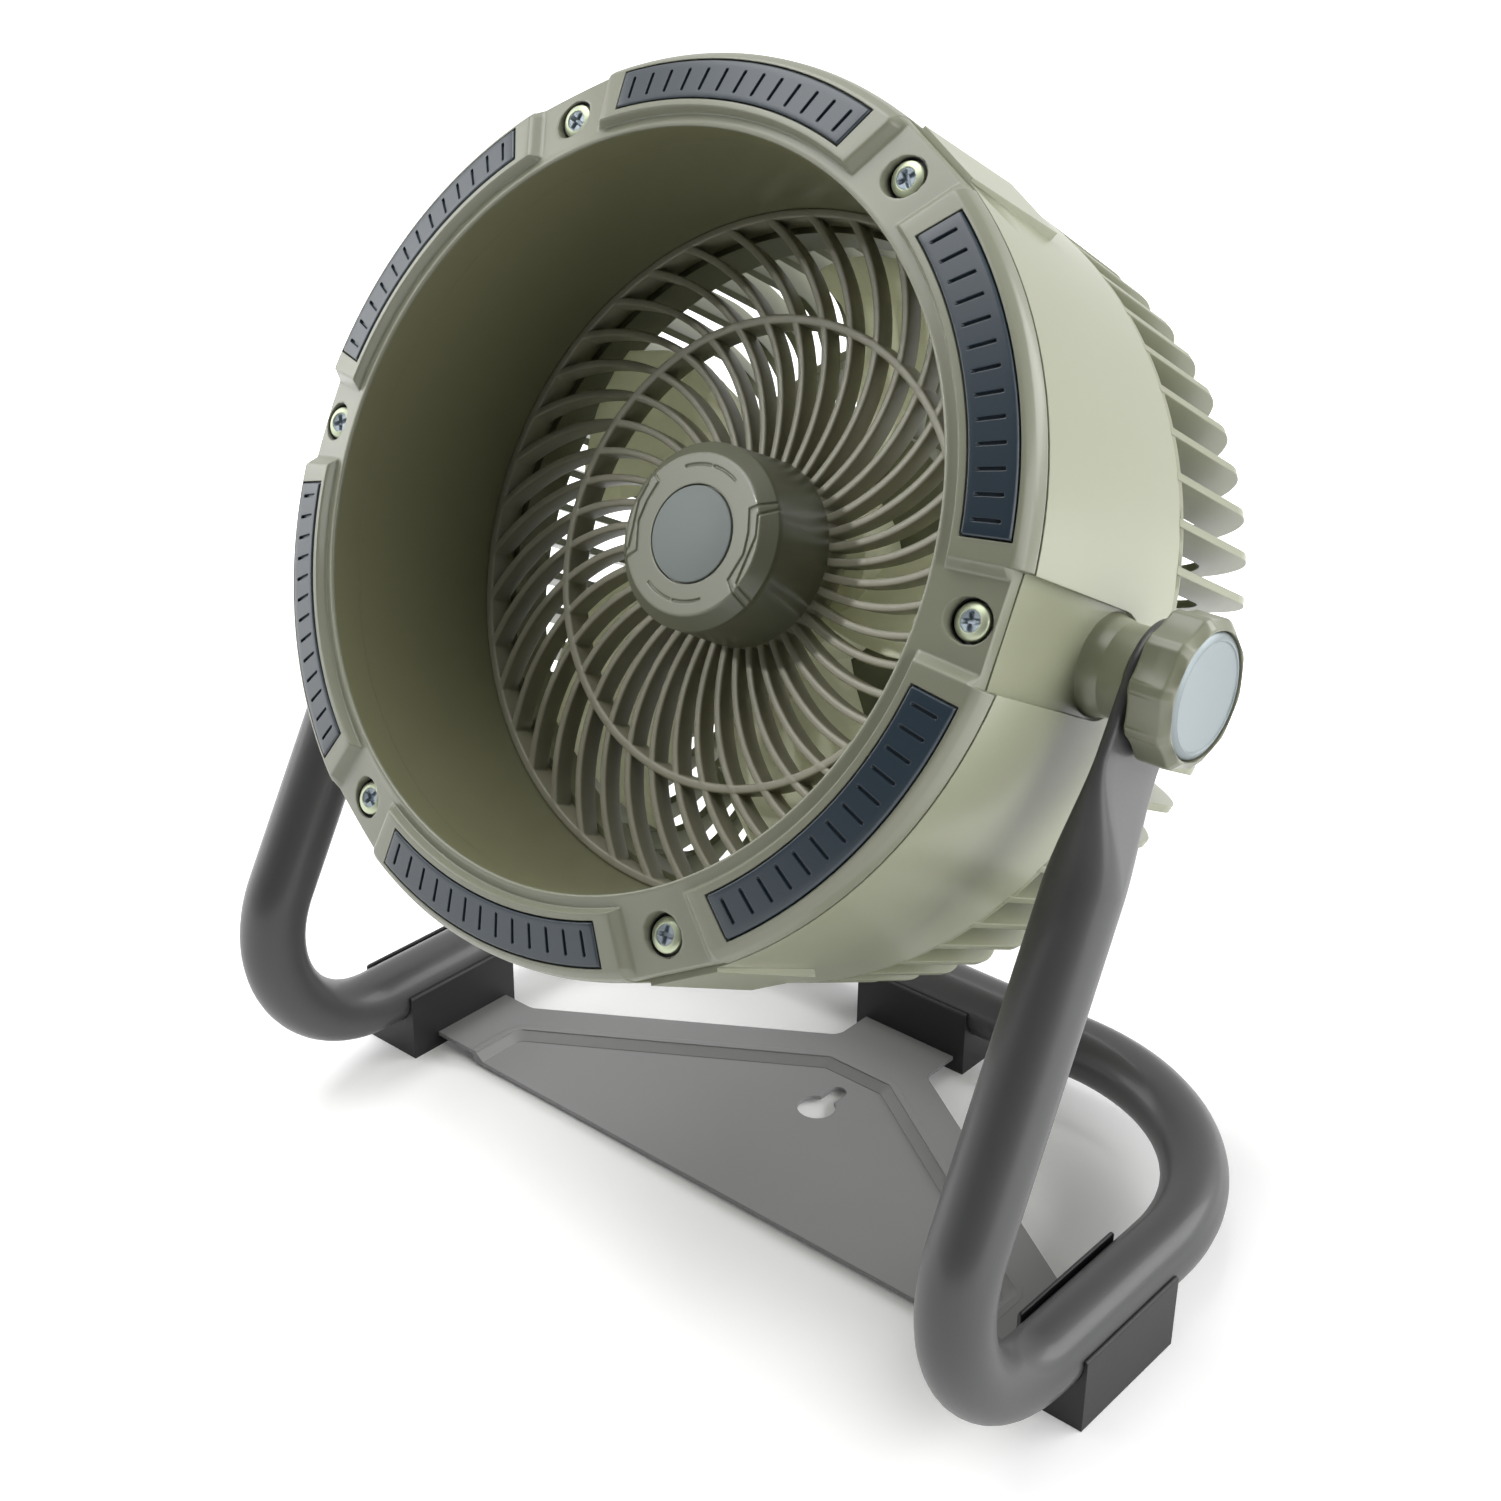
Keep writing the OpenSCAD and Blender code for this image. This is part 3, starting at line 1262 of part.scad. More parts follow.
module knob_washer(side) {
    color(rubber_black) on_side(side) translate([0, pivot_y, pivot_z]) along_x(knob_washer_x)
        ring(stud_d / 2 + fit_gap, knob_washer_r, knob_washer_t);
}

// ---------------------------------------------------------------- nodes

stand_tube();
base_plate();
foot_clip_side(-1);  // foot_clip_left
foot_clip_side(1);  // foot_clip_right
foot_clip_rear();
foot_screws();
pivot_washer(-1);  // pivot_washer_left
pivot_washer(1);  // pivot_washer_right
front_bezel();
bezel_pad(1);  // bezel_pad_1
bezel_pad(2);  // bezel_pad_2
bezel_pad(3);  // bezel_pad_3
bezel_pad(4);  // bezel_pad_4
bezel_pad(5);  // bezel_pad_5
bezel_pad(6);  // bezel_pad_6
bezel_screws();
air_duct();
front_grille();
hub_cap();
hub_disc();
barrel();
pivot_insert(-1);  // pivot_insert_left
pivot_insert(1);  // pivot_insert_right
rear_guard();
guard_screws();
motor_housing();
motor_case();
motor_stator();
motor_bearings();
battery_cells();
battery_holder();
control_board();
charge_port();
dial_encoder();
rear_cover();
cover_screws();
impeller();
impeller_nut();
motor_rotor();
motor_shaft();
speed_dial();
port_flap();
knob_grip(-1);  // knob_grip_left
knob_disc(-1);  // knob_disc_left
clamp_stud(-1);  // clamp_stud_left
knob_washer(-1);  // knob_washer_left
knob_grip(1);  // knob_grip_right
knob_disc(1);  // knob_disc_right
clamp_stud(1);  // clamp_stud_right
knob_washer(1);  // knob_washer_right
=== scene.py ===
"""Looks of a portable camping fan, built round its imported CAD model.

Sizes are in millimetres and angles in degrees unless a name says otherwise. In the head's own
frame +X is right, +Y is up and +Z is the way the air leaves; z = 0 is the pivot axis.
"""

from __future__ import annotations

import logging
import math
from dataclasses import dataclass
from enum import Enum
from typing import Iterable, Sequence

import bmesh
import bpy
import numpy as np
from mathutils import Matrix, Vector

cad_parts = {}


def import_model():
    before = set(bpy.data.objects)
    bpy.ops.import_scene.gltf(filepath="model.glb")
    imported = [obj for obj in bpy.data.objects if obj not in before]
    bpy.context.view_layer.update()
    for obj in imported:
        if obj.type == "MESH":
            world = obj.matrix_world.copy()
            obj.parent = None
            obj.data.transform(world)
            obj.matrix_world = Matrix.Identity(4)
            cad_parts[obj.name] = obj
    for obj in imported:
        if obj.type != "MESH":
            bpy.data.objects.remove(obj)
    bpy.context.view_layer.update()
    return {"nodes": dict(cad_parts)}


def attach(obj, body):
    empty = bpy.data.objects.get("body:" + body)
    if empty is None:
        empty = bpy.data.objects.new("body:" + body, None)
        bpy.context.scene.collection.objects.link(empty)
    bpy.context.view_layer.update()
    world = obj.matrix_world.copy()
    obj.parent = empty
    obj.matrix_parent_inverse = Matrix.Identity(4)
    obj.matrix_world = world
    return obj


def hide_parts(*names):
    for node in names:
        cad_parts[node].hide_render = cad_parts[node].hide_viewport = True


LOG = logging.getLogger("camping_fan")
MM = 0.001
WELD_MM = 0.004
LEAST_EDGE_M = 1e-7
LEAST_ROUGH = 0.02
COAT_ROUGH = 0.12
# From this metallic share on, a finish leaves the index of refraction as the node has it
METAL_FROM = 0.5
# The Mix node's sockets for colours
MIX_FROM, MIX_TO, MIX_RESULT = 6, 7, 2
SMOOTH = {"interpolation_type": "SMOOTHSTEP"}
WHITE = (1.0, 1.0, 1.0, 1.0)


# ------------------------------------------------------------------ colour and nodes


def linear(hex_code: str) -> tuple[float, float, float, float]:
    """Turn an sRGB hex colour into linear RGBA.

    Args:
        hex_code: Six hex digits, with or without a leading hash.

    Returns:
        Linear red, green and blue, and an alpha of 1.
    """
    raw = hex_code.lstrip("#")
    parts = [int(raw[i : i + 2], 16) / 255.0 for i in (0, 2, 4)]
    rgb = [c / 12.92 if c <= 0.04045 else ((c + 0.055) / 1.055) ** 2.4 for c in parts]
    return (rgb[0], rgb[1], rgb[2], 1.0)


def add_node(tree: bpy.types.NodeTree, kind: str, settings: dict | None = None, feeds: dict | None = None,
             **values: object) -> bpy.types.Node:
    """Add one shader node with its settings, values and incoming links.

    Args:
        tree: The node tree that gets the node.
        kind: Node type without the ShaderNode prefix.
        settings: Attributes of the node itself.
        feeds: Input name or number to what feeds it, an output socket or a value.
        **values: Input values; an underscore in a name stands for a space.

    Returns:
        The new node.
    """
    node = tree.nodes.new("ShaderNode" + kind)
    for key, value in (settings or {}).items():
        setattr(node, key, value)
    for key, value in values.items():
        node.inputs[key.replace("_", " ")].default_value = value
    for key, source in (feeds or {}).items():
        if isinstance(source, bpy.types.NodeSocket):
            tree.links.new(source, node.inputs[key])
        else:
            node.inputs[key].default_value = source
    return node


def add_math(tree: bpy.types.NodeTree, operation: str, a: object, b: object) -> bpy.types.NodeSocket:
    """Add a Math node between two sockets or numbers and give its result."""
    return add_node(tree, "Math", {"operation": operation}, {0: a, 1: b}).outputs["Value"]


# ------------------------------------------------------------------ finishes


@dataclass(frozen=True)
class Finish:
    """A solid finish: a colour with slow variation, a fine grain and softly broken edges.

    Attributes:
        label: Name of the material.
        colour: Main colour, sRGB hex.
        tint: The colour that the slow variation drifts towards, sRGB hex.
        rough: Roughness of the surface.
        metal: Metallic share, from 0 to 1.
        ior: Index of refraction.
        grain_mm: Spacing of the fine grain.
        grain_depth: Height of the grain's bumps in millimetres.
        drift_mm: Size of the slow colour patches.
        edge_mm: Radius of the softly broken edges.
        coat: Weight of a clear gloss coat.
        rough_spread: How far roughness wanders either way.
        thin: Share of the light that passes through a thin wall.
    """

    label: str
    colour: str
    tint: str
    rough: float
    metal: float = 0.0
    ior: float = 1.5
    grain_mm: float = 0.5
    grain_depth: float = 0.01
    drift_mm: float = 60.0
    edge_mm: float = 0.45
    coat: float = 0.0
    rough_spread: float = 0.04
    thin: float = 0.0

    def material(self) -> bpy.types.Material:
        """Build the node material, or return it if it has been built before."""
        known = bpy.data.materials.get(self.label)
        if known is not None:
            return known
        mat = bpy.data.materials.new(self.label)
        mat.use_nodes = True
        tree = mat.node_tree
        tree.nodes.clear()
        place = add_node(tree, "TexCoord").outputs["Object"]
        slow = add_node(tree, "TexNoise", feeds={"Vector": place}, Scale=1.0 / (self.drift_mm * MM),
                        Detail=2.0, Roughness=0.5)
        colour = add_node(tree, "Mix", {"data_type": "RGBA"}, {
            "Factor": slow.outputs["Fac"], MIX_FROM: linear(self.colour), MIX_TO: linear(self.tint),
        }).outputs[MIX_RESULT]
        fine = add_node(tree, "TexNoise", feeds={"Vector": place}, Scale=1.0 / (self.grain_mm * MM),
                        Detail=3.0, Roughness=0.6).outputs["Fac"]
        rough = add_node(tree, "MapRange", feeds={"Value": fine},
                         To_Min=max(self.rough - self.rough_spread, LEAST_ROUGH),
                         To_Max=self.rough + self.rough_spread)
        edge = add_node(tree, "Bevel", {"samples": 6}, Radius=self.edge_mm * MM)
        bump = add_node(tree, "Bump", feeds={"Height": fine, "Normal": edge.outputs["Normal"]},
                        Strength=1.0, Distance=self.grain_depth * MM)
        shader = add_node(tree, "BsdfPrincipled", feeds={
            "Base Color": colour, "Roughness": rough.outputs["Result"], "Normal": bump.outputs["Normal"],
        }, Metallic=self.metal)
        if self.metal < METAL_FROM:
            shader.inputs["IOR"].default_value = self.ior
        if self.coat > 0.0:
            shader.inputs["Coat Weight"].default_value = self.coat
            shader.inputs["Coat Roughness"].default_value = COAT_ROUGH
        surface = shader.outputs["BSDF"]
        if self.thin > 0.0:
            through = add_node(tree, "BsdfTranslucent", feeds={"Color": colour})
            blend = add_node(tree, "MixShader", feeds={1: surface, 2: through.outputs["BSDF"]}, Fac=self.thin)
            surface = blend.outputs["Shader"]
        add_node(tree, "OutputMaterial", feeds={"Surface": surface})
        return mat


class Looks(Enum):
    """The finishes of the fan, each named for what the real one is, or for the light or shade painted into its
    colour.
    """

    # ABS from a finely eroded mould, satin: soft broad highlights
    BEZEL = Finish("abs_olive_satin", "#808271", "#787a68", 0.36, grain_mm=0.6, grain_depth=0.006, coat=0.15)
    # The hub's ABS, a shade deeper than the bezel's
    HUB = Finish("abs_hub_satin", "#6a6c5c", "#636555", 0.36, grain_mm=0.6, grain_depth=0.004, coat=0.15)
    # The barrel's ABS, from a polished mould: clear reflections along it. Its colour, lighter than the bezel's,
    # is painted light on the brightly lit barrel; the plastic is the bezel's
    BARREL = Finish("abs_khaki_gloss_painted_light", "#959880", "#8f927a", 0.31, grain_mm=0.7, grain_depth=0.0006, coat=0.15,
                    rough_spread=0.02)
    # ABS of the inner duct, smooth: long dark gradients. Its colour, darker than the bezel's, is painted shade
    # deep in the duct; the plastic is the bezel's
    DUCT = Finish("abs_duct_painted_shade", "#74745a", "#6b6b51", 0.33, grain_mm=0.7, grain_depth=0.004)
    # Glass-filled nylon of the grille: greyer and duller than the shell
    GRILLE = Finish("nylon_grille", "#8c8a78", "#838170", 0.42, grain_mm=0.5, grain_depth=0.008, edge_mm=0.5)
    # Polypropylene of the impeller: pale cream, and half of the light passes through the thin blades
    IMPELLER = Finish("pp_impeller", "#fafbec", "#f5f6de", 0.38, grain_mm=0.8, grain_depth=0.003, thin=0.5)
    # Fins of the rear guard: the barrel's ABS, a shade deeper
    GUARD = Finish("abs_khaki_fins", "#878a70", "#81846a", 0.34, grain_mm=0.7, grain_depth=0.004, edge_mm=0.7)
    # Thermoplastic rubber inlays: dark slate blue with a soft sheen
    PAD = Finish("tpe_slate", "#26333d", "#212d36", 0.34, grain_mm=0.4, grain_depth=0.003, edge_mm=0.3)
    # Zinc-plated steel screws with a pale green passivation
    ZINC = Finish("zinc_passivated", "#b9c1a6", "#aeb69b", 0.42, metal=0.7, grain_mm=0.3, grain_depth=0.004)
    # The pressed recess of the same screws: bluer and darker, painted shade in the recess
    RECESS_PAINTED_SHADE = Finish("zinc_recess_painted_shade", "#8f999f", "#828d96", 0.36, metal=0.7, grain_mm=0.3, grain_depth=0.004)
    # Anodised aluminium discs: fine satin, blue-grey
    DISC = Finish("aluminium_satin", "#848d8f", "#7c8487", 0.42, metal=0.6, grain_mm=0.25, grain_depth=0.004)
    # The hub's disc: painted, duller and greyer than the knobs'
    PAINTED_DISC = Finish("painted_disc", "#6e7573", "#676e6c", 0.62, grain_mm=0.4, grain_depth=0.002)
    # Powder coat on the steel tube: fine orange peel, dark grey
    TUBE = Finish("powder_coat_grey", "#424243", "#3d3d3e", 0.44, grain_mm=1.1, grain_depth=0.008, coat=0.15)
    # Painted steel of the base plate: a clearly lighter grey than the tube's, with the same fine grain
    PLATE = Finish("paint_steel_grey", "#8f8f8f", "#888888", 0.44, grain_mm=1.0, grain_depth=0.012, edge_mm=0.5)
    # Carbon-filled rubber of the clips and washers: near black, dull
    RUBBER = Finish("rubber_black", "#161617", "#121213", 0.5, grain_mm=0.5, grain_depth=0.012, edge_mm=0.5)
    # Knobs: the bezel's ABS, a shade deeper
    KNOB = Finish("abs_knob", "#7a7c68", "#727460", 0.34, grain_mm=0.6, grain_depth=0.006, edge_mm=0.5,
                  coat=0.1)
    # Turned brass of the inserts
    BRASS = Finish("brass_turned", "#c9a65e", "#bb9850", 0.3, metal=1.0, grain_mm=0.4, grain_depth=0.004)
    # Bright steel of shaft and bearings
    STEEL = Finish("steel_ground", "#b9bbbc", "#adafb0", 0.25, metal=1.0, grain_mm=0.4, grain_depth=0.003)
    # Copper-wound core, lacquered
    COPPER = Finish("copper_lacquer", "#b06a3c", "#9c5c33", 0.35, metal=1.0, grain_mm=0.5, grain_depth=0.02)
    # Solder mask on the board
    BOARD = Finish("board_green", "#2f5a3c", "#284f34", 0.4, grain_mm=0.6, grain_depth=0.01)
    # Shrink sleeve of the cells
    SLEEVE = Finish("cell_sleeve", "#3f6c8f", "#386283", 0.35, grain_mm=0.8, grain_depth=0.004)


# ------------------------------------------------------------------ surfaces on grids


@dataclass
class Patch:
    """A surface worked out on a grid of two parameters.

    Attributes:
        points: Array of shape (rows, columns, 3) in millimetres.
        wrap_rows: Whether the last row joins the first.
        wrap_cols: Whether the last column joins the first.
    """

    points: np.ndarray
    wrap_rows: bool = False
    wrap_cols: bool = False

    def quads(self, base: int) -> np.ndarray:
        """Index the grid's quads, counting vertices from base."""
        rows, cols = self.points.shape[:2]
        idx = np.arange(rows * cols).reshape(rows, cols) + base
        if self.wrap_rows:
            idx = np.vstack([idx, idx[:1]])
        if self.wrap_cols:
            idx = np.hstack([idx, idx[:, :1]])
        return np.stack([idx[:-1, :-1], idx[1:, :-1], idx[1:, 1:], idx[:-1, 1:]], axis=-1).reshape(-1, 4)


def piece(name: str, patches: Iterable[Patch], look: Looks, body: str, crease: float = 38.0,
          stands_for: Sequence[str] = ()) -> bpy.types.Object:
    """Make one object from surfaces: doubles are merged, faces turned outwards and creases kept sharp.

    Args:
        name: Name of the piece.
        patches: The surfaces, in world millimetres.
        look: Its finish.
        body: The CAD body it rides on.
        crease: Angle between faces above which an edge shades sharp.
        stands_for: CAD nodes that the piece replaces.

    Returns:
        The new object, at the origin.
    """
    coords, faces, base = [], [], 0
    for patch in patches:
        faces.append(patch.quads(base))
        coords.append(patch.points.reshape(-1, 3))
        base += coords[-1].shape[0]
    xyz = np.concatenate(coords) * MM
    quads = np.concatenate(faces)
    mesh = bpy.data.meshes.new(name)
    mesh.vertices.add(len(xyz))
    mesh.vertices.foreach_set("co", xyz.ravel())
    mesh.loops.add(quads.size)
    mesh.loops.foreach_set("vertex_index", quads.ravel())
    mesh.polygons.add(len(quads))
    mesh.polygons.foreach_set("loop_start", np.arange(0, quads.size, 4))
    mesh.update(calc_edges=True)
    shape = bmesh.new()
    shape.from_mesh(mesh)
    bmesh.ops.remove_doubles(shape, verts=shape.verts, dist=WELD_MM * MM)
    bmesh.ops.dissolve_degenerate(shape, edges=shape.edges, dist=LEAST_EDGE_M)
    bmesh.ops.recalc_face_normals(shape, faces=shape.faces)
    shape.to_mesh(mesh)
    shape.free()
    mesh.shade_smooth()
    mesh.set_sharp_from_angle(angle=math.radians(crease))
    obj = bpy.data.objects.new(name, mesh)
    bpy.context.scene.collection.objects.link(obj)
    mesh.materials.append(look.value.material())
    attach(obj, body)
    if stands_for:
        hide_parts(*stands_for)
    LOG.info("%s: %d faces on %s", name, len(mesh.polygons), body)
    return obj


def smooth_step(x: np.ndarray) -> np.ndarray:
    """Ease from 0 to 1 as x goes from 0 to 1, by 3x^2 - 2x^3."""
    t = np.clip(x, 0.0, 1.0)
    return t * t * (3.0 - 2.0 * t)


def unit(rows: np.ndarray) -> np.ndarray:
    """Scale every vector to the length 1."""
    return rows / np.linalg.norm(rows, axis=-1, keepdims=True)


def points(*axes: np.ndarray | float) -> np.ndarray:
    """Join coordinates that are given axis by axis; shapes that differ are spread over each other."""
    return np.stack(np.broadcast_arrays(*axes), axis=-1)


def turned(p: np.ndarray, angle: float) -> np.ndarray:
    """Turn points about +Z by an angle in radians."""
    c, s = math.cos(angle), math.sin(angle)
    return points(p[..., 0] * c - p[..., 1] * s, p[..., 0] * s + p[..., 1] * c, p[..., 2])


def lathe(profile: Sequence[Sequence[float]], segments: int) -> np.ndarray:
    """Revolve a profile of (radius, height) about +Z: point = (r cos a, r sin a, z).

    Args:
        profile: Points of radius and height.
        segments: Number of steps round the axis.

    Returns:
        Array of shape (segments, points, 3), to be wrapped over its rows.
    """
    prof = np.asarray(profile, float)
    a = np.linspace(0.0, 2.0 * np.pi, segments, endpoint=False)[:, None]
    return points(prof[:, 0] * np.cos(a), prof[:, 0] * np.sin(a), prof[:, 1])


def rounded(corners: Sequence[Sequence[float]], steps: int = 4) -> np.ndarray:
    """Round the corners of a closed outline.

    Each corner (x, y, r) becomes an arc of radius r that touches both its edges.

    Args:
        corners: Corner points with their rounding radius.
        steps: Steps along each arc.

    Returns:
        Array of outline points of shape (n, 2).
    """
    pts = np.asarray([c[:2] for c in corners], float)
    straight = math.pi / 2 - 1e-3
    out = []
    for i, (here, (_, _, radius)) in enumerate(zip(pts, corners)):
        a, b = unit(pts[i - 1] - here), unit(pts[(i + 1) % len(pts)] - here)
        half = math.acos(float(np.clip(a @ b, -1.0, 1.0))) / 2.0
        if radius <= 0.0 or half > straight:
            out.append(here[None])
            continue
        centre = here + unit(a + b) * radius / math.sin(half)
        reach = radius / math.tan(half)
        start, end = here + a * reach - centre, here + b * reach - centre
        a0 = math.atan2(start[1], start[0])
        turn = (math.atan2(end[1], end[0]) - a0 + math.pi) % (2.0 * math.pi) - math.pi
        t = a0 + turn * np.linspace(0.0, 1.0, steps + 1)
        out.append(centre + radius * points(np.cos(t), np.sin(t)))
    return np.concatenate(out)


def ring_patch(r_in: float, r_out: float, z_back: float, z_front: float, edge: float,
               segments: int) -> Patch:
    """A ring of rounded rectangular section about the head's axis."""
    outline = rounded([(r_in, z_back, edge), (r_out, z_back, edge), (r_out, z_front, edge),
                       (r_in, z_front, edge)])
    return Patch(lathe(outline, segments), wrap_rows=True, wrap_cols=True)


def closed_ends(rows: np.ndarray) -> np.ndarray:
    """Close a sweep at both ends by one more row there, gathered in the section's middle."""
    first = np.broadcast_to(rows[:1].mean(axis=1, keepdims=True), rows[:1].shape)
    last = np.broadcast_to(rows[-1:].mean(axis=1, keepdims=True), rows[-1:].shape)
    return np.concatenate([first, rows, last])


# ------------------------------------------------------------------ places


@dataclass(frozen=True)
class Places:
    """The main places of the fan, which every sub-assembly shares."""

    pivot_y: float = -9.339
    pivot_z: float = 223.5
    tilt: float = 26.8
    grille_z: float = -2.0
    foot_x: float = 143.95
    foot_z: float = 23.5

    def head(self, p: np.ndarray) -> np.ndarray:
        """Carry points from the head's own frame into the world, by the tilt about the pivot."""
        t = math.radians(self.tilt)
        x, y, z = p[..., 0], p[..., 1], p[..., 2]
        return points(x, self.pivot_y + y * math.sin(t) - z * math.cos(t),
                      self.pivot_z + y * math.cos(t) + z * math.sin(t))

    def side(self, p: np.ndarray, sign: int) -> np.ndarray:
        """Carry points drawn about +Z to the pivot axis, +Z pointing outwards on the side of sign."""
        return points(sign * p[..., 2], self.pivot_y + p[..., 0], self.pivot_z + p[..., 1])


PLACES = Places()


def in_head(patches: Iterable[Patch]) -> list[Patch]:
    """Place patches drawn in the head's frame."""
    return [Patch(PLACES.head(p.points), p.wrap_rows, p.wrap_cols) for p in patches]


# ------------------------------------------------------------------ stand


@dataclass(frozen=True)
class StandTube:
    """The bent tube: one sweep from the right pivot, round the back, to the left pivot."""

    radius: float = 11.0
    flat_half: float = 1.8
    flat_x: float = 140.26
    flat_len: float = 23.0
    squeeze_len: float = 34.0
    tip_len: float = 16.5
    slide_from: float = 13.8
    steady_share: float = 0.35
    leg_angle: float = 28.0
    lean: float = 1.5
    front_r: float = 43.0
    rear_r: float = 77.5
    rear_y: float = 98.961

    def _leg_point(self, y: np.ndarray, h: np.ndarray) -> np.ndarray:
        """Place points of the leaning side plane: y along the fan, h up the lean."""
        a = math.radians(self.lean)
        return points(PLACES.foot_x - h * math.sin(a), y, PLACES.foot_z + h * math.cos(a))

    def _upper(self, rise: float, d: np.ndarray) -> np.ndarray:
        """Place the pressed stretch, d down the leg from the pivot: it slides out from flat to round."""
        ang, lean = math.radians(self.leg_angle), math.radians(self.lean)
        length = self.flat_len + self.squeeze_len
        end_x = PLACES.foot_x - (rise - length * math.cos(ang)) * math.sin(lean)
        slide = smooth_step((d - self.slide_from) / (length - self.slide_from))
        return points(self.flat_x + (end_x - self.flat_x) * slide, PLACES.pivot_y - d * math.sin(ang),
                      PLACES.pivot_z - d * math.cos(ang))

    def _lower(self, rise: float) -> np.ndarray:
        """Place the round stretch: leg, front bend, run along the ground, rear bend and back."""
        ang = math.radians(self.leg_angle)
        turn = math.pi / 2 + ang
        cut = self.front_r * math.tan(turn / 2)
        bend_y = PLACES.pivot_y - rise * math.tan(ang) + cut
        s = np.linspace(self.flat_len + self.squeeze_len, rise / math.cos(ang) - cut, 14)[1:]
        leg = self._leg_point(PLACES.pivot_y - s * math.sin(ang), rise - s * math.cos(ang))
        phi = np.linspace(turn, 0.0, 40)[1:]
        front = self._leg_point(bend_y - self.front_r * np.sin(phi), self.front_r * (1.0 - np.cos(phi)))
        cx, cy = PLACES.foot_x - self.rear_r, self.rear_y - self.rear_r
        run = points(PLACES.foot_x, np.linspace(bend_y, cy, 12)[1:], PLACES.foot_z)
        th = np.radians(np.linspace(0.0, 90.0, 34))[1:]
        corner = points(cx + self.rear_r * np.cos(th), cy + self.rear_r * np.sin(th), PLACES.foot_z)
        back = points(np.linspace(cx, 0.0, 8)[1:], self.rear_y, PLACES.foot_z)
        return np.concatenate([leg, front, run, corner, back])

    def _path(self) -> tuple[np.ndarray, np.ndarray, np.ndarray]:
        """Centreline of the right half, with the thickness and the end's narrowing along it.

        Returns:
            Points (n, 3), half thickness (n,) and tip share (n,), which narrows the rounded end.
        """
        rise = PLACES.pivot_z - PLACES.foot_z
        psi = np.radians(np.linspace(88.0, 0.0, 15))
        d = np.concatenate([-self.tip_len * np.sin(psi), np.linspace(0.0, self.flat_len, 5)[1:],
                            np.linspace(self.flat_len, self.flat_len + self.squeeze_len, 33)[1:]])
        path = np.concatenate([self._upper(rise, d), self._lower(rise)])
        # The thickness grows partly in proportion to the distance and partly by a smooth step
        squeeze = np.clip((d - self.flat_len) / self.squeeze_len, 0.0, 1.0)
        grown = self.steady_share * squeeze + (1.0 - self.steady_share) * smooth_step(squeeze)
        half = np.full(len(path), self.radius)
        half[: len(d)] = self.flat_half + (self.radius - self.flat_half) * grown
        share = np.ones(len(path))
        share[: len(psi)] = np.cos(psi)
        return path, half, share

    def build(self) -> None:
        """Sweep the pressed section along the whole path.

        The section keeps the tube's girth: two half circles of the half thickness h, held
        apart by flats of half length (girth - 2 pi h) / 4, so that h = r is the round tube.
        """
        path, half, share = self._path()
        mirror = path[:-1][::-1] * np.array([-1.0, 1.0, 1.0])
        path = np.concatenate([path, mirror])
        half = np.concatenate([half, half[:-1][::-1]])
        share = np.concatenate([share, share[:-1][::-1]])
        tangent = unit(np.gradient(path, axis=0))
        # The thickness is measured across the fan on the legs, and level and outwards on the ground
        flat = np.array([1.0, 0.0, 0.0]) * np.sign(path[:, :1] + 1e-9)
        level = np.cross(tangent, np.array([0.0, 0.0, 1.0]))
        on_ground = (np.abs(tangent[:, 2:]) < 1e-3) & (path[:, 1:2] > PLACES.pivot_y)
        out = np.where(on_ground, level, flat)
        out -= (out * tangent).sum(axis=1, keepdims=True) * tangent
        out = unit(out)
        out *= np.sign((out * (path - np.array([0.0, 0.0, PLACES.foot_z]))).sum(axis=1, keepdims=True))
        wide = np.cross(tangent, out)
        girth = 2.0 * math.pi * self.radius
        reach = (girth - 2.0 * math.pi * half) / 4.0
        full = (reach + half) * share
        half = np.minimum(half, full)
        reach = full - half
        arc = np.radians(np.linspace(-90.0, 90.0, 17))
        flats = np.linspace(1.0, -1.0, 7)[1:-1]
        one, none, all_arc = np.ones(len(flats)), np.zeros(len(flats)), np.ones(len(arc))
        c = np.concatenate([np.sin(arc), one, -np.sin(arc), -one])
        s = np.concatenate([np.cos(arc), none, -np.cos(arc), none])
        lean = np.concatenate([all_arc, flats, -all_arc, -flats])
        across = half[:, None] * c
        along = half[:, None] * s + reach[:, None] * lean
        rows = path[:, None] + across[..., None] * out[:, None] + along[..., None] * wide[:, None]
        piece("tube", [Patch(closed_ends(rows), wrap_cols=True)], Looks.TUBE, "stand", 60.0, ["stand_tube"])


@dataclass(frozen=True)
class ClipLip:
    """The higher wall of both side clips, which are the same moulding: it rises beside the tube."""

    places: tuple[tuple[str, float], ...] = (("right", 131.8), ("left", -156.1))
    thick: float = 1.3
    low: float = 20.0
    top: float = 30.2
    middle_y: float = -12.939
    length: float = 50.0

    def build(self) -> None:
        """Sweep the wall's rounded section along the tube, its ends eased downwards."""
        section = rounded([(0.0, self.low, 0.0), (self.thick, self.low, 0.0), (self.thick, self.top, 0.5),
                           (0.0, self.top, 0.5)])
        half = self.length / 2
        y = np.array([-half, -half + 0.3, -half + 0.8, 0.0, half - 0.8, half - 0.3, half])[:, None]
        shrink = np.array([0.6, 0.15, 0.0, 0.0, 0.0, 0.15, 0.6])[:, None]
        z = section[None, :, 1] - shrink * (section[None, :, 1] > self.low + 1.0)
        for side, place in self.places:
            rows = points(place + section[None, :, 0], self.middle_y + y, z)
            piece("clip_lip_" + side, [Patch(closed_ends(rows), wrap_cols=True)], Looks.RUBBER, "stand", 40.0)


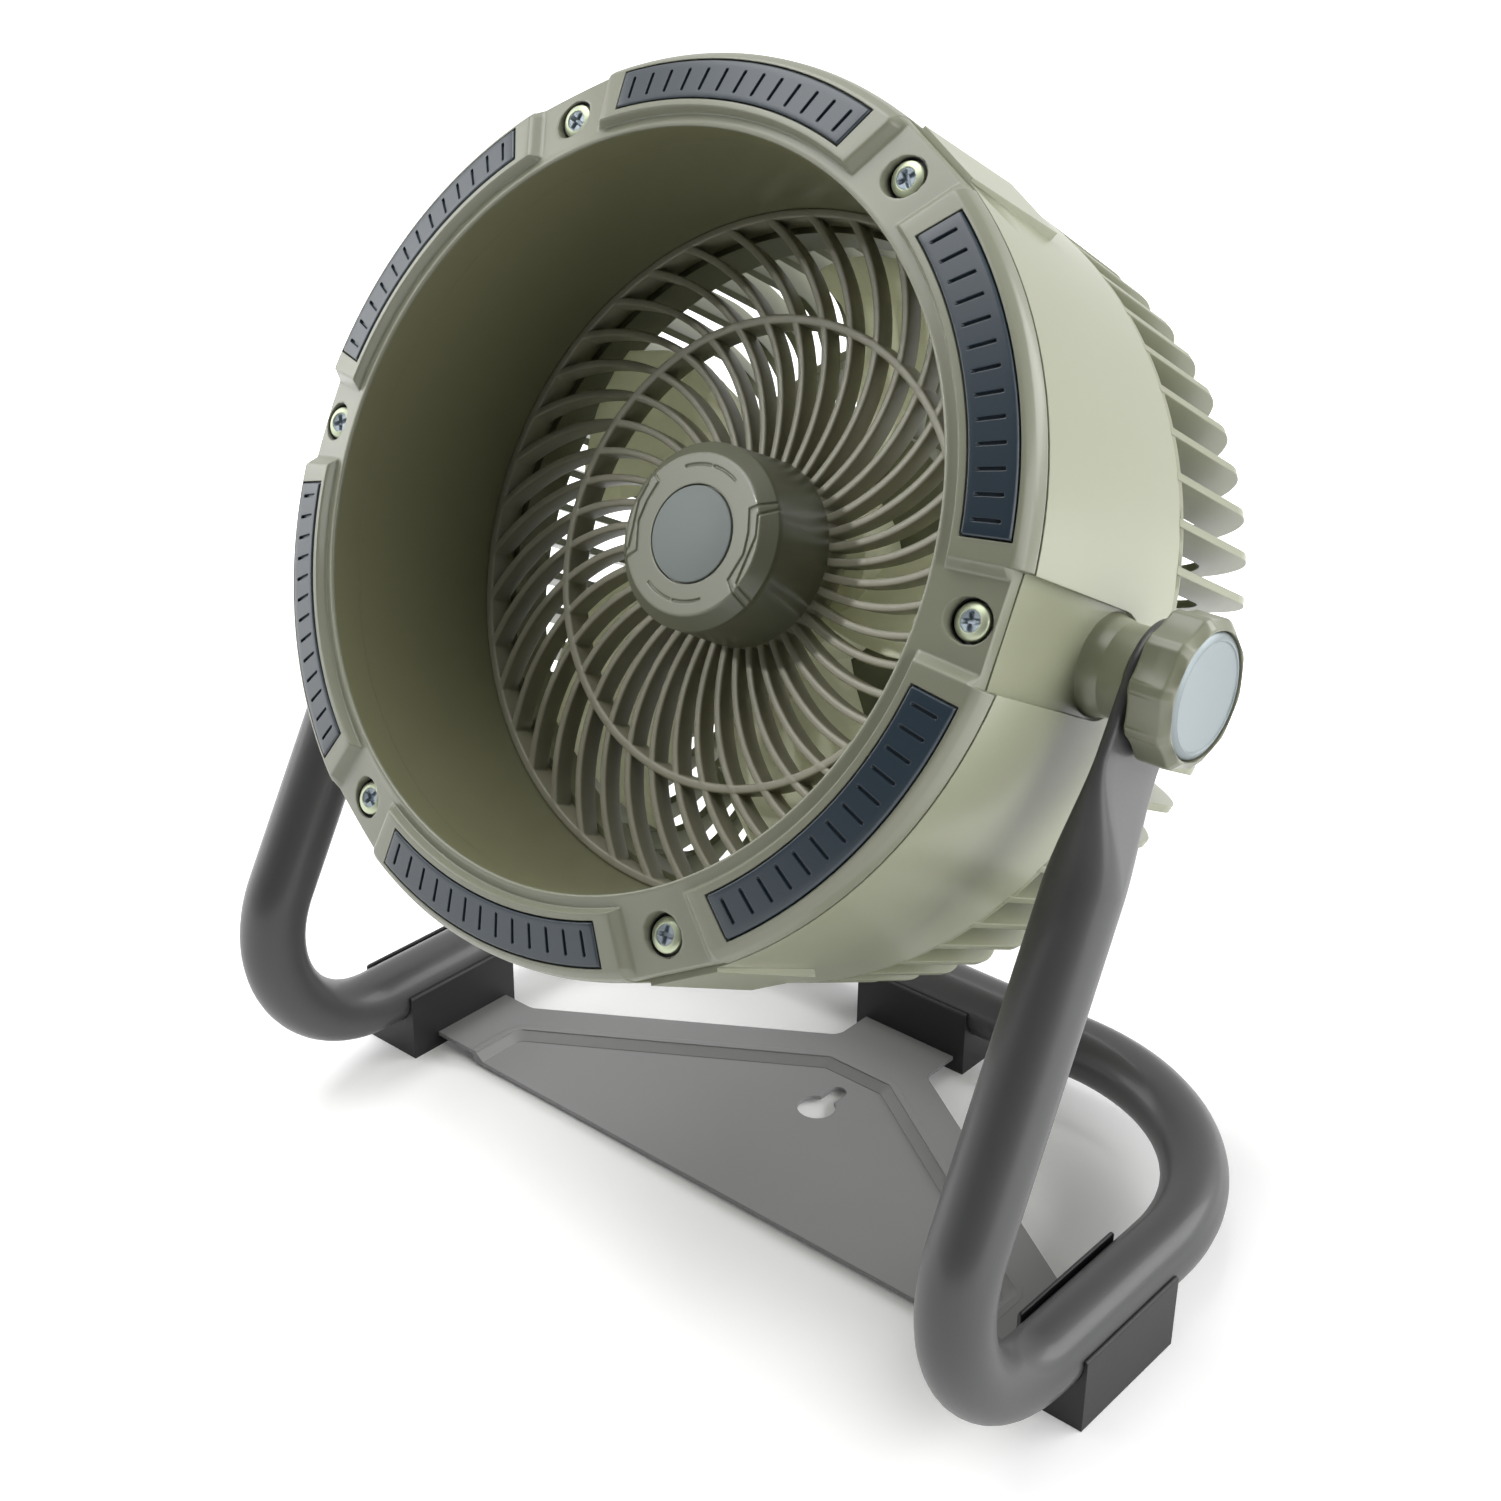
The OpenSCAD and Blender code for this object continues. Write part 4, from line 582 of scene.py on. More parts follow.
@dataclass(frozen=True)
class PressRamp:
    """The sloping wall round the base plate's pressed middle, between its rim and its panel."""

    side_x: float = 111.65
    side_y: float = -5.84
    apex_x: float = 13.6
    apex_y: float = 57.11
    front_y: float = -26.32
    rim_z: float = 6.0
    panel_z: float = 3.0
    corner_r: float = 8.0

    def _lines(self, inset: np.ndarray) -> np.ndarray:
        """The press line set inwards: straight runs joined by arcs of the radius corner_r - inset.

        Args:
            inset: Distances from the press line, inwards, in mm.

        Returns:
            Points in plan, one row for each place along the line and one column for each distance.
        """
        x, y = self.side_x, self.side_y
        corners = np.array([(-x, self.front_y), (-x, y), (-self.apex_x, self.apex_y),
                            (self.apex_x, self.apex_y), (x, y), (x, self.front_y)])
        ahead = unit(np.diff(corners, axis=0))
        inward = points(ahead[:, 1], -ahead[:, 0])
        share = np.linspace(0.0, 1.0, 11)[:, None]
        rows = [corners[:1, None] + inset[None, :, None] * inward[0]]
        for corner, before, after in zip(corners[1:-1], inward[:-1], inward[1:]):
            middle = unit(before + after)
            centre = corner + middle * self.corner_r / (middle @ before)
            turn = unit(before * (1.0 - share) + after * share)
            rows.append(centre - (self.corner_r - inset)[None, :, None] * turn[:, None])
        rows.append(corners[-1:, None] + inset[None, :, None] * inward[-1])
        return np.concatenate(rows)

    def build(self) -> None:
        """Carry the ramp's section along the press line."""
        section = rounded([(-2.6, self.rim_z - 0.6, 0.0), (-2.6, self.rim_z + 0.02, 0.0),
                           (-0.6, self.rim_z + 0.02, 0.9), (3.6, self.panel_z - 0.05, 0.0),
                           (0.0, self.panel_z - 0.1, 0.0)])
        plan = self._lines(section[:, 0])
        rows = points(plan[..., 0], plan[..., 1], section[None, :, 1])
        piece("plate_ramp", [Patch(closed_ends(rows), wrap_cols=True)], Looks.PLATE, "stand", 30.0)


# ------------------------------------------------------------------ head


@dataclass(frozen=True)
class Grille:
    """The front grille: spiral ribs with rounded edges between three rings."""

    count: int = 42
    hub_r: float = 28.6
    rim_r: float = 103.8
    mid_r: float = 70.5
    sweep: float = 32.0
    bend: float = 1.6
    width: float = 2.5
    depth: float = 7.6
    ring_depth: float = 9.6
    rim_wide: float = 2.6
    mid_wide: float = 2.8
    hub_wide: float = 2.2
    back_share: float = 0.7
    below: float = 0.1
    rows: int = 26

    def _rib(self) -> np.ndarray:
        """One rib about +X: its centreline turns by sweep * share^bend, its section is a rounded bar."""
        r = np.linspace(self.hub_r - 0.8, self.rim_r - 1.2, self.rows)
        share = np.clip((r - self.hub_r) / (self.rim_r - self.hub_r), 0.0, 1.0)
        a = np.radians(self.sweep) * share ** self.bend
        line = points(r * np.cos(a), r * np.sin(a))
        ahead = unit(np.gradient(line, axis=0))
        left = points(-ahead[:, 1], ahead[:, 0])
        front, z0, z1 = self.width / 2, PLACES.grille_z - self.below - self.depth, PLACES.grille_z - self.below
        back = front * self.back_share
        section = rounded([(-back, z0, 0.3), (back, z0, 0.3), (front, z1, 0.6), (-front, z1, 0.6)], 3)
        flat = line[:, None] + section[None, :, :1] * left[:, None]
        return points(flat[..., 0], flat[..., 1], section[None, :, 1])

    def build(self) -> None:
        """Turn the rib round the axis and add the rings."""
        rib = closed_ends(self._rib())
        patches = [Patch(turned(rib, t), wrap_cols=True)
                   for t in np.radians(360.0 / self.count * np.arange(self.count))]
        back = PLACES.grille_z - self.ring_depth
        for r_out, wide, edge, segments in ((self.rim_r, self.rim_wide, 0.6, 180),
                                            (self.mid_r + self.mid_wide / 2, self.mid_wide, 0.7, 180),
                                            (self.hub_r, self.hub_wide, 0.5, 120)):
            patches.append(ring_patch(r_out - wide, r_out, back, PLACES.grille_z, edge, segments))
        piece("grille", in_head(patches), Looks.GRILLE, "head", 50.0, ["front_grille"])


@dataclass(frozen=True)
class HubCap:
    """The hub: a tapered cap with a chamfer, a seat for its disc and moulded line grooves."""

    base_r: float = 28.6
    front_r: float = 27.7
    length: float = 28.0
    step: float = 2.3
    skirt: float = 5.0
    chamfer: float = 4.0
    disc_r: float = 14.1
    seat_gap: float = 0.45
    seat_depth: float = 1.3
    floor_r: float = 22.0
    floor_depth: float = 3.2
    groove_depth: float = 0.55
    groove_half: float = 0.34
    lines: tuple[tuple[tuple[float, float], ...], ...] = (
        ((29.5, 34.0), (20.9, 33.5), (20.2, 15.0), (20.2, -3.0), (19.9, -27.5), (29.5, -33.5)),
        ((29.5, 30.5), (23.4, 27.0), (22.9, 12.0), (22.8, -24.0), (29.5, -28.5)),
    )
    arcs: tuple[tuple[float, float, float], ...] = ((20.3, 63.0, 88.0), (19.6, -88.0, -60.0))

    def _groove(self, x: np.ndarray, y: np.ndarray) -> np.ndarray:
        """Share of the groove's depth at a point: 1 on a line, falling to 0 at its half width."""
        near = np.full(x.shape, 1e9)
        for mirrored in (1.0, -1.0):
            for line in self.lines:
                r, a = np.array(line).T
                pts = points(mirrored * r * np.cos(np.radians(a)), r * np.sin(np.radians(a)))
                for p, q in zip(pts[:-1], pts[1:]):
                    d = q - p
                    t = np.clip(((x - p[0]) * d[0] + (y - p[1]) * d[1]) / (d @ d), 0.0, 1.0)
                    near = np.minimum(near, np.hypot(x - p[0] - t * d[0], y - p[1] - t * d[1]))
            for r, a0, a1 in self.arcs:
                ang = np.degrees(np.arctan2(y, mirrored * x))
                off = np.clip(np.maximum(a0 - ang, ang - a1), 0.0, None) * math.pi / 180.0 * r
                near = np.minimum(near, np.hypot(np.hypot(x, y) - r, off))
        return 1.0 - smooth_step((near - self.groove_half * 0.45) / (self.groove_half * 1.1))

    def build(self) -> None:
        """Revolve the cap's profile and press the grooves into its face; then the disc."""
        z1 = PLACES.grille_z + self.length
        flat_r = self.front_r - self.chamfer
        seat = self.disc_r + self.seat_gap
        inner_r, base_z = self.base_r - self.step, PLACES.grille_z
        wall = [(inner_r, base_z - self.skirt), (inner_r, base_z), (self.base_r, base_z),
                (self.front_r, z1 - self.chamfer)]
        floor = [(0.0, z1 - self.floor_depth), (self.floor_r, z1 - self.floor_depth)]
        side = [np.linspace(p, q, n) for p, q, n in zip(wall[:-1], wall[1:], (2, 2, 12))]
        face = [(r, z1 - self.chamfer * max(0.0, (r - flat_r) / self.chamfer))
                for r in np.arange(self.front_r - 0.12, seat + 0.3, -0.13)]
        tail = [(seat + 0.12, z1 - 0.02), (seat, z1 - 0.16), (seat, z1 - self.seat_depth),
                (0.0, z1 - self.seat_depth)]
        soft = np.concatenate([floor, *side, face, tail])
        # The two edges of the chamfer are eased by averaging each point from lo to hi with its neighbours
        hi = len(soft) - len(tail) - 1
        lo = hi + 1 - len(face)
        for _ in range(6):
            soft[lo:hi, 1] = (soft[lo - 1 : hi - 1, 1] + 2.0 * soft[lo:hi, 1] + soft[lo + 1 : hi + 1, 1]) / 4.0
        cap = lathe(soft, 720)
        # The grooves run over the whole face and the last points of the wall
        order = np.arange(len(soft))
        on_face = (order >= lo - 2) & (order <= hi)
        cap[..., 2] -= self._groove(cap[..., 0], cap[..., 1]) * self.groove_depth * on_face
        piece("hub", in_head([Patch(cap, wrap_rows=True)]), Looks.HUB, "head", 44.0, ["hub_cap"])
        top = z1 + 0.3
        disc = [(0.0, top - 1.6), (self.disc_r, top - 1.6), (self.disc_r, top - 0.35),
                (self.disc_r - 0.08, top - 0.12), (self.disc_r - 0.35, top), (0.0, top)]
        piece("hub_plate", in_head([Patch(lathe(disc, 160), wrap_rows=True)]), Looks.PAINTED_DISC, "head", 30.0,
              ["hub_disc"])


def soft_min(a: np.ndarray, b: np.ndarray | float, k: float) -> np.ndarray:
    """The lower of two heights, with a rounding of about k where they cross."""
    h = np.clip(0.5 + 0.5 * (b - a) / k, 0.0, 1.0)
    return b + (a - b) * h - k * h * (1.0 - h)


@dataclass(frozen=True)
class Bezel:
    """The front bezel: a conical face with six raised sectors, pad seats and counterbores.

    Heights along the head's axis follow height = screw_z - fall * (r - screw_r), plus the raised
    sectors, whose walls and top are the lowest of three slopes.
    """

    lip_r: float = 105.3
    lip_z: float = 63.6
    liner: float = 1.3
    screw_r: float = 117.5
    screw_z: float = 60.3
    fall: float = 0.34
    raise_h: float = 3.35
    foot_r: float = 109.0
    top_r: float = 110.4
    sector_half: float = 24.5
    end_slope: float = 38.0
    pad_in: float = 112.7
    pad_out: float = 124.5
    pad_half: float = 20.3
    pad_gap: float = 0.4
    pad_depth: float = 1.7
    pad_proud: float = 0.5
    notches: int = 13
    notch_pitch: float = 3.05
    notch_in: float = 114.8
    notch_out: float = 121.8
    notch_half: float = 0.45
    notch_depth: float = 0.9
    edge_r: float = 0.8
    hole_r: float = 6.0
    seat_z: float = 56.2
    back_z: float = 53.06
    split_r: float = 123.6
    body_r: float = 128.4
    pocket_x: float = 124.4
    pocket_half: float = 15.0
    pocket_r: float = 126.0
    flat_x: float = 127.2

    @property
    def _pocket_angle(self) -> float:
        """Half of the rim's angle, in degrees, that a side recess or a gap's flat takes."""
        return math.degrees(math.asin(self.pocket_half / self.pocket_r))

    def cone(self, r: np.ndarray) -> np.ndarray:
        """Height of the plain face at a radius."""
        return self.screw_z - self.fall * (r - self.screw_r)

    def _block(self, r: np.ndarray, off: np.ndarray) -> np.ndarray:
        """Height of a raised sector over the face, off degrees from its middle."""
        end = (self.sector_half - np.abs(off)) * math.pi / 180.0 * r / math.tan(math.radians(self.end_slope))
        inner = (r - self.foot_r) * self.raise_h / (self.top_r - self.foot_r)
        block = soft_min(soft_min(end, inner, 0.7), self.raise_h, 0.7)
        block = -soft_min(-block, 0.0, 0.5)
        middle, width = (self.pad_in + self.pad_out) / 2, self.pad_out - self.pad_in
        inside = ((np.abs(r - middle) < width / 2 + self.pad_gap)
                  & (np.abs(off) < self.pad_half + math.degrees(self.pad_gap / self.screw_r)))
        return block - self.pad_depth * inside

    def _rows(self) -> np.ndarray:
        """Angles of one sixth of the bezel, 0 in the middle of a gap, dense at the walls."""
        end = 30.0 - self.pad_half - math.degrees(self.pad_gap / self.screw_r)
        rise = 30.0 - self.sector_half
        pocket = self._pocket_angle
        half = np.concatenate([
            np.linspace(0.0, rise - 0.35, 7), rise + np.array([-0.15, 0.05, 0.3, 0.7, 1.0, 1.15]),
            [pocket - 0.02, pocket + 0.02, pocket + 0.35, 8.2, end - 0.03, end + 0.03],
            np.linspace(end + 1.0, 30.0, 22)])
        return np.concatenate([-half[-2:0:-1], half])

    def _squeeze(self, angle: np.ndarray) -> np.ndarray:
        """How wide the rim is beyond split_r: 1 on the full body, less where recess or flat cut it."""
        gap = (angle + 30.0) % 60.0 - 30.0
        side = np.abs((angle + 90.0) % 180.0 - 90.0) < 29.0
        cut = np.where(side, self.pocket_x, self.flat_x) / np.cos(np.radians(gap))
        rim = np.where(np.abs(gap) < self._pocket_angle, np.minimum(cut, self.body_r), self.body_r)
        return ((rim - self.split_r) / (self.body_r - self.split_r))[:, None]

    def _outer(self, angle: np.ndarray, off: np.ndarray) -> np.ndarray:
        """Radius and height of shoulder and outer wall, from split_r down to the groove at the seam."""
        groove = [(128.38, 53.95), (126.6, 53.9), (126.5, self.back_z), (106.7, self.back_z)]
        high = np.array([(125.4, 61.02), (126.1, 60.4), (126.9, 59.35), (127.4, 58.7), (127.65, 58.25),
                         (128.0, 56.9), (128.33, 55.3)] + groove)
        low = np.array([(125.4, 57.62), (126.1, 57.38), (126.9, 57.1), (127.35, 56.95), (127.7, 56.75),
                        (128.05, 56.2), (128.33, 55.2)] + groove)
        share = np.clip(self._block(np.full_like(off, 111.6), off) / self.raise_h, 0.0, 1.0)[:, None, None]
        line = low + (high - low) * share
        drawn = self.split_r + (line[..., 0] - self.split_r) * self._squeeze(angle)
        r = np.where(line[..., 0] > self.split_r, drawn, line[..., 0])
        # What is drawn in also rises with the face's fall, fully on the shoulder and not at all below it
        front = np.array([1.0] * 5 + [0.6, 0.2] + [0.0] * 4)
        return points(r, line[..., 1] + self.fall * (line[..., 0] - r) * front)

    @staticmethod
    def _polar(r: np.ndarray, angle: np.ndarray, z: np.ndarray) -> np.ndarray:
        """Points from radius, angle in degrees and height."""
        a = np.radians(angle)
        return points(r * np.cos(a), r * np.sin(a), z)

    def _hole(self, middle: float, rows: np.ndarray, cols: np.ndarray) -> Patch:
        """The face round one screw: rings that pass from the grid's border to the counterbore's circle."""
        lo, hi = cols[0], cols[-1]
        r = np.concatenate([cols[:-1], np.full(len(rows) - 1, hi), cols[:0:-1], np.full(len(rows) - 1, lo)])
        t = np.concatenate([np.full(len(cols) - 1, rows[0]), rows[:-1],
                            np.full(len(cols) - 1, rows[-1]), rows[:0:-1]])
        border = points(r * np.cos(np.radians(t)), r * np.sin(np.radians(t)))
        centre = np.array([self.screw_r, 0.0])
        circle = unit(border - centre)
        # Each ring: its points in plan, and how far it lies above or below the plain face there
        steps = [(border, self._block(r, t + 30.0))]
        for share, grow in ((0.35, 0.6), (0.7, 0.5), (0.9, 0.35), (1.0, 0.3)):
            steps.append((border + (centre + circle * (self.hole_r + grow) - border) * share, 0.0))
        for radius, drop in ((self.hole_r + 0.09, 0.09), (self.hole_r, 0.3)):
            steps.append((centre + circle * radius, -drop))
        rings = [points(*flat.T, self.cone(np.hypot(*flat.T)) + above) for flat, above in steps]
        rings += [points(*(centre + circle * radius).T, self.seat_z) for radius in (self.hole_r, 0.0)]
        return Patch(turned(np.stack(rings), math.radians(middle)), wrap_cols=True)

    def _lip(self) -> np.ndarray:
        """Radius and height from the hidden inner wall over the rounded lip to the face."""
        t = np.radians(np.linspace(185.0, 72.0, 7))
        arc = points(self.lip_r + 0.7 + 0.7 * np.cos(t), self.lip_z - 0.1 + 0.7 * np.sin(t))
        inner = self.lip_r + self.liner + 0.1
        return np.vstack([[(inner, self.back_z), (inner, arc[0, 1] - 0.1)], arc,
                          [(106.6, self.lip_z + 0.52), (107.1, self.lip_z + 0.28)]])

    def _shell(self) -> list[Patch]:
        """All surfaces of the bezel in the head's frame."""
        rows = self._rows()
        angle = np.concatenate([rows + 60.0 * i for i in range(6)])
        off = (angle % 60.0) - 30.0
        seat = self.pad_in - self.pad_gap
        cols = np.array([107.5, 108.2, 108.8, 109.1, 109.5, 109.9, 110.2, 110.5, 111.0, 111.7,
                         seat - 0.05, seat + 0.05, 118.0, self.split_r])
        late = self.pad_out + self.pad_gap + np.array([-0.05, 0.05])
        lip, wall = self._lip(), self._outer(angle, off)
        r0, z0 = (np.broadcast_to(column, (len(angle), len(lip))) for column in lip.T)
        r1 = np.broadcast_to(cols, (len(angle), len(cols)))
        z1 = self.cone(r1) + self._block(r1, off[:, None])
        r2 = self.split_r + (late - self.split_r) * self._squeeze(angle)
        z2 = self.cone(r2) + self._block(np.broadcast_to(late, r2.shape), off[:, None])
        inner = self._polar(np.hstack([r0, r1[:, :1]]), angle[:, None], np.hstack([z0, z1[:, :1]]))
        outer = self._polar(np.hstack([r1[:, -1:], r2, wall[..., 0]]), angle[:, None],
                            np.hstack([z1[:, -1:], z2, wall[..., 1]]))
        patches = [Patch(inner, wrap_rows=True), Patch(outer, wrap_rows=True)]
        # Between two screws the face is a plain grid that starts and ends at the holes' last rows
        hole_rows = rows[np.abs(rows) < 5.2]
        last = hole_rows[-1] - 1e-6
        between = np.concatenate([rows[rows >= last], 60.0 + rows[rows <= -last]])
        for i in range(6):
            t = (between + 60.0 * i)[:, None]
            r = np.broadcast_to(cols, (len(t), len(cols)))
            patches.append(Patch(self._polar(r, t, self.cone(r) + self._block(r, t % 60.0 - 30.0))))
            patches.append(self._hole(60.0 * i, hole_rows, cols))
        return patches

    def _pad(self, middle: float) -> list[Patch]:
        """One rubber inlay with rounded edges and a row of slots with round ends."""
        k = self.edge_r
        soft = np.array([0.0, 0.05, 0.2, 0.45, k])
        ends = np.array([-0.5, -0.09, 0.08, 0.45])
        r = np.unique(np.concatenate([self.pad_in + soft, self.pad_out - soft, self.notch_in + ends,
                                      self.notch_out - ends, [118.3]]))
        places = (np.arange(self.notches) - (self.notches - 1) / 2) * self.notch_pitch
        near = np.array([-0.9, -0.54, -0.37, 0.0, 0.37, 0.54, 0.9]) / self.screw_r * 180.0 / math.pi
        edge = soft / self.screw_r * 180.0 / math.pi
        off = np.unique(np.concatenate([(places[:, None] + near).ravel(), edge - self.pad_half,
                                        self.pad_half - edge]))
        rr, aa = np.meshgrid(r, off)
        dx = np.minimum(rr - self.pad_in, self.pad_out - rr)
        dy = (self.pad_half - np.abs(aa)) * math.pi / 180.0 * rr
        # Edges rounded by the radius k: drop = k - sqrt(k^2 - away^2), away from where the rounding starts
        away = np.minimum(np.hypot(np.clip(k - dx, 0.0, None), np.clip(k - dy, 0.0, None)), k)
        drop = k - np.sqrt(k * k - away * away)
        nearest = places[np.abs(aa[..., None] - places).argmin(axis=-1)]
        along = np.clip(rr, self.notch_in + self.notch_half, self.notch_out - self.notch_half)
        slot = np.hypot(rr - along, (aa - nearest) * math.pi / 180.0 * rr) - self.notch_half
        cut = 1.0 - smooth_step((slot + 0.08) / 0.16)
        seat = self.cone(rr) + self.raise_h
        top = self._polar(rr, aa + middle, seat + self.pad_proud - drop - self.notch_depth * cut)
        low = self._polar(rr, aa + middle, seat - self.pad_depth + 0.1)
        skirt = np.concatenate([low[:1], top, low[-1:]])
        first = np.concatenate([low[:1, :1], low[:, :1], low[-1:, :1]])
        last = np.concatenate([low[:1, -1:], low[:, -1:], low[-1:, -1:]])
        return [Patch(np.concatenate([first, skirt, last], axis=1)), Patch(low)]

    def build(self) -> None:
        """Make the bezel, the duct's liner inside its lip and the six inlays."""
        piece("bezel", in_head(self._shell()), Looks.BEZEL, "head", 30.0, ["front_bezel"])
        # The liner covers the bezel's inner wall in the duct's darker colour: painted shade carried up to the
        # lip
        outer, low, top = self.lip_r + self.liner, 53.0, self.lip_z - 0.2
        liner = rounded([(self.lip_r, low, 0.0), (outer, low, 0.0), (outer, top, 0.2), (self.lip_r, top, 0.2)])
        piece("liner", in_head([Patch(lathe(liner, 240), wrap_rows=True, wrap_cols=True)]), Looks.DUCT, "head")
        for i in range(6):
            piece(f"pad_{i + 1}", in_head(self._pad(60.0 * i + 30.0)), Looks.PAD, "head", 14.0,
                  [f"bezel_pad_{i + 1}"])


@dataclass(frozen=True)
class BezelScrews:
    """Six pan-head screws with a cross recess."""

    circle_r: float = 117.5
    head_r: float = 4.95
    head_h: float = 2.9
    seat_z: float = 56.4
    arm: float = 2.7
    arm_half: float = 0.6
    depth: float = 1.3
    dish_r: float = 2.9
    dish: float = 0.55

    def _edge(self) -> np.ndarray:
        """The head's broad rim: an annulus with a rounded outer and a broken inner edge."""
        top = self.seat_z + self.head_h
        line = [(self.dish_r, self.seat_z), (self.dish_r, top - 0.25), (self.dish_r + 0.15, top - 0.08)]
        line += [(r, top - 0.9 * (r / self.head_r) ** 4)
                 for r in np.linspace(self.dish_r + 0.35, self.head_r - 0.2, 8)]
        line += [(self.head_r - 0.06, top - 1.05), (self.head_r, top - 1.3), (self.head_r, self.seat_z)]
        return lathe(line, 72)

    def _arm(self, p: np.ndarray, q: np.ndarray) -> np.ndarray:
        """Depth share of one arm, p along it and q across it, sloping up towards its end."""
        inside = 1.0 - smooth_step((q - self.arm_half + 0.12) / 0.24)
        return inside * np.clip((self.arm - p) / 0.9, 0.0, 1.0)

    def _recess(self, turn: float) -> np.ndarray:
        """The dished middle: height = dish minus the cross, which is turned by an angle in degrees."""
        r = np.linspace(0.0, self.dish_r - 0.03, 30)
        a = np.linspace(0.0, 2.0 * np.pi, 120, endpoint=False)[:, None]
        dome = self.head_h - self.dish + 0.25 * (r / self.dish_r) ** 2
        x, y = r * np.cos(a), r * np.sin(a)
        c, s = math.cos(math.radians(turn)), math.sin(math.radians(turn))
        u, v = np.abs(c * x + s * y), np.abs(c * y - s * x)
        cross = np.maximum(self._arm(u, v), self._arm(v, u))
        top = points(x, y, self.seat_z + dome - self.depth * cross)
        under = [points(q * np.cos(a), q * np.sin(a), self.seat_z) for q in (self.dish_r - 0.03, 0.0)]
        return np.concatenate([top, *under], axis=1)

    def build(self) -> None:
        """Set the six screws in their places, each turned its own way, with black rings round their heads as
        painted shadow of the counterbores.
        """
        rims, dishes, shadow_rings = [], [], []
        # Black rings that fill the counterbore round each head: painted shadow of the counterbore
        low = self.seat_z - 0.18
        ring = [(2.0, low), (5.97, low), (5.97, low + 1.6), (5.75, low + 1.6), (5.75, low + 0.15),
                (2.0, low + 0.15)]
        for i, turn in enumerate((12.0, 38.0, 71.0, 25.0, 54.0, 5.0)):
            a = math.radians(60.0 * i)
            place = np.array([self.circle_r * math.cos(a), self.circle_r * math.sin(a), 0.0])
            rims.append(Patch(self._edge() + place, wrap_rows=True, wrap_cols=True))
            dishes.append(Patch(self._recess(turn) + place, wrap_rows=True))
            shadow_rings.append(Patch(lathe(ring, 72) + place, wrap_rows=True, wrap_cols=True))
        piece("screws", in_head(rims), Looks.ZINC, "head", 35.0, ["bezel_screws"])
        # The dished middle gets the bluer, darker copy of the zinc: painted shade in the recess
        piece("screw_crosses", in_head(dishes), Looks.RECESS_PAINTED_SHADE, "head", 35.0)
        piece("screw_shadow_rings", in_head(shadow_rings), Looks.RUBBER, "head", 35.0)


@dataclass(frozen=True)
class Knobs:
    """The two clamp knobs: a fluted grip with a chamfered rim round a plain disc."""

    base_x: float = 143.12
    radius: float = 20.8
    height: float = 12.4
    chamfer: float = 2.5
    flutes: int = 10
    flute_r: float = 12.0
    flute_d: float = 1.2
    ease: float = 0.02
    ridge_drop: float = 0.035
    disc_r: float = 17.0

    def _grip(self) -> np.ndarray:
        """The grip: radius = R minus the flute's arc, blended away over the front chamfer."""
        a = np.linspace(0.0, 2.0 * np.pi, 432, endpoint=False)[:, None]
        pitch = 2.0 * np.pi / self.flutes
        off = ((a + pitch / 2) % pitch - pitch / 2) * self.radius
        reach = math.sqrt(self.flute_r ** 2 - (self.flute_r - self.flute_d) ** 2)
        hollow = np.sqrt(np.clip(self.flute_r ** 2 - off ** 2, 0.0, None)) - (self.flute_r - self.flute_d)
        # The ridge between two hollows is rounded by a soft maximum with zero: (h + sqrt(h^2 + ease)) / 2
        eased = 0.5 * (hollow + np.sqrt(hollow ** 2 + self.ease))
        hollow = np.where(np.abs(off) < reach + 1.0, eased, self.ridge_drop)
        top, rim = self.height, self.height - self.chamfer
        prof = np.array([(8.0, 0.0, 0.0), (19.6, 0.0, 1.0), (20.4, 0.15, 1.0), (20.8, 0.7, 1.0),
                         (20.8, rim - 0.5, 1.0), (20.7, rim - 0.1, 1.0), (20.4, rim + 0.3, 1.0),
                         (18.6, top - 0.5, 0.8), (18.25, top - 0.25, 0.55), (17.95, top - 0.15, 0.35),
                         (17.6, top - 0.2, 0.15), (17.35, top - 0.5, 0.0), (17.35, top - 2.4, 0.0),
                         (8.0, top - 2.4, 0.0)])
        r = prof[:, 0] - hollow * prof[:, 2]
        return points(r * np.cos(a), r * np.sin(a), prof[:, 1] + self.base_x)

    def build(self) -> None:
        """Make grip and disc on both sides."""
        grip = self._grip()
        top = self.base_x + self.height + 0.1
        r = self.disc_r
        disc = [(0.0, top - 2.4), (r, top - 2.4), (r, top - 1.15), (r - 0.15, top - 0.95),
                (r - 1.8, top - 0.08), (r - 2.0, top), (r - 2.2, top - 0.08), (r - 2.35, top - 0.35),
                (r - 2.6, top - 0.4), (0.0, top - 0.4)]
        for name, sign in (("left", -1), ("right", 1)):
            body = "knob_" + name
            piece("grip_" + name, [Patch(PLACES.side(grip, sign), wrap_rows=True, wrap_cols=True)],
                  Looks.KNOB, body, 34.0, ["knob_grip_" + name])
            piece("knob_plate_" + name, [Patch(PLACES.side(lathe(disc, 144), sign), wrap_rows=True)],
                  Looks.DISC, body, 30.0, ["knob_disc_" + name])


# ------------------------------------------------------------------ CAD nodes and studio


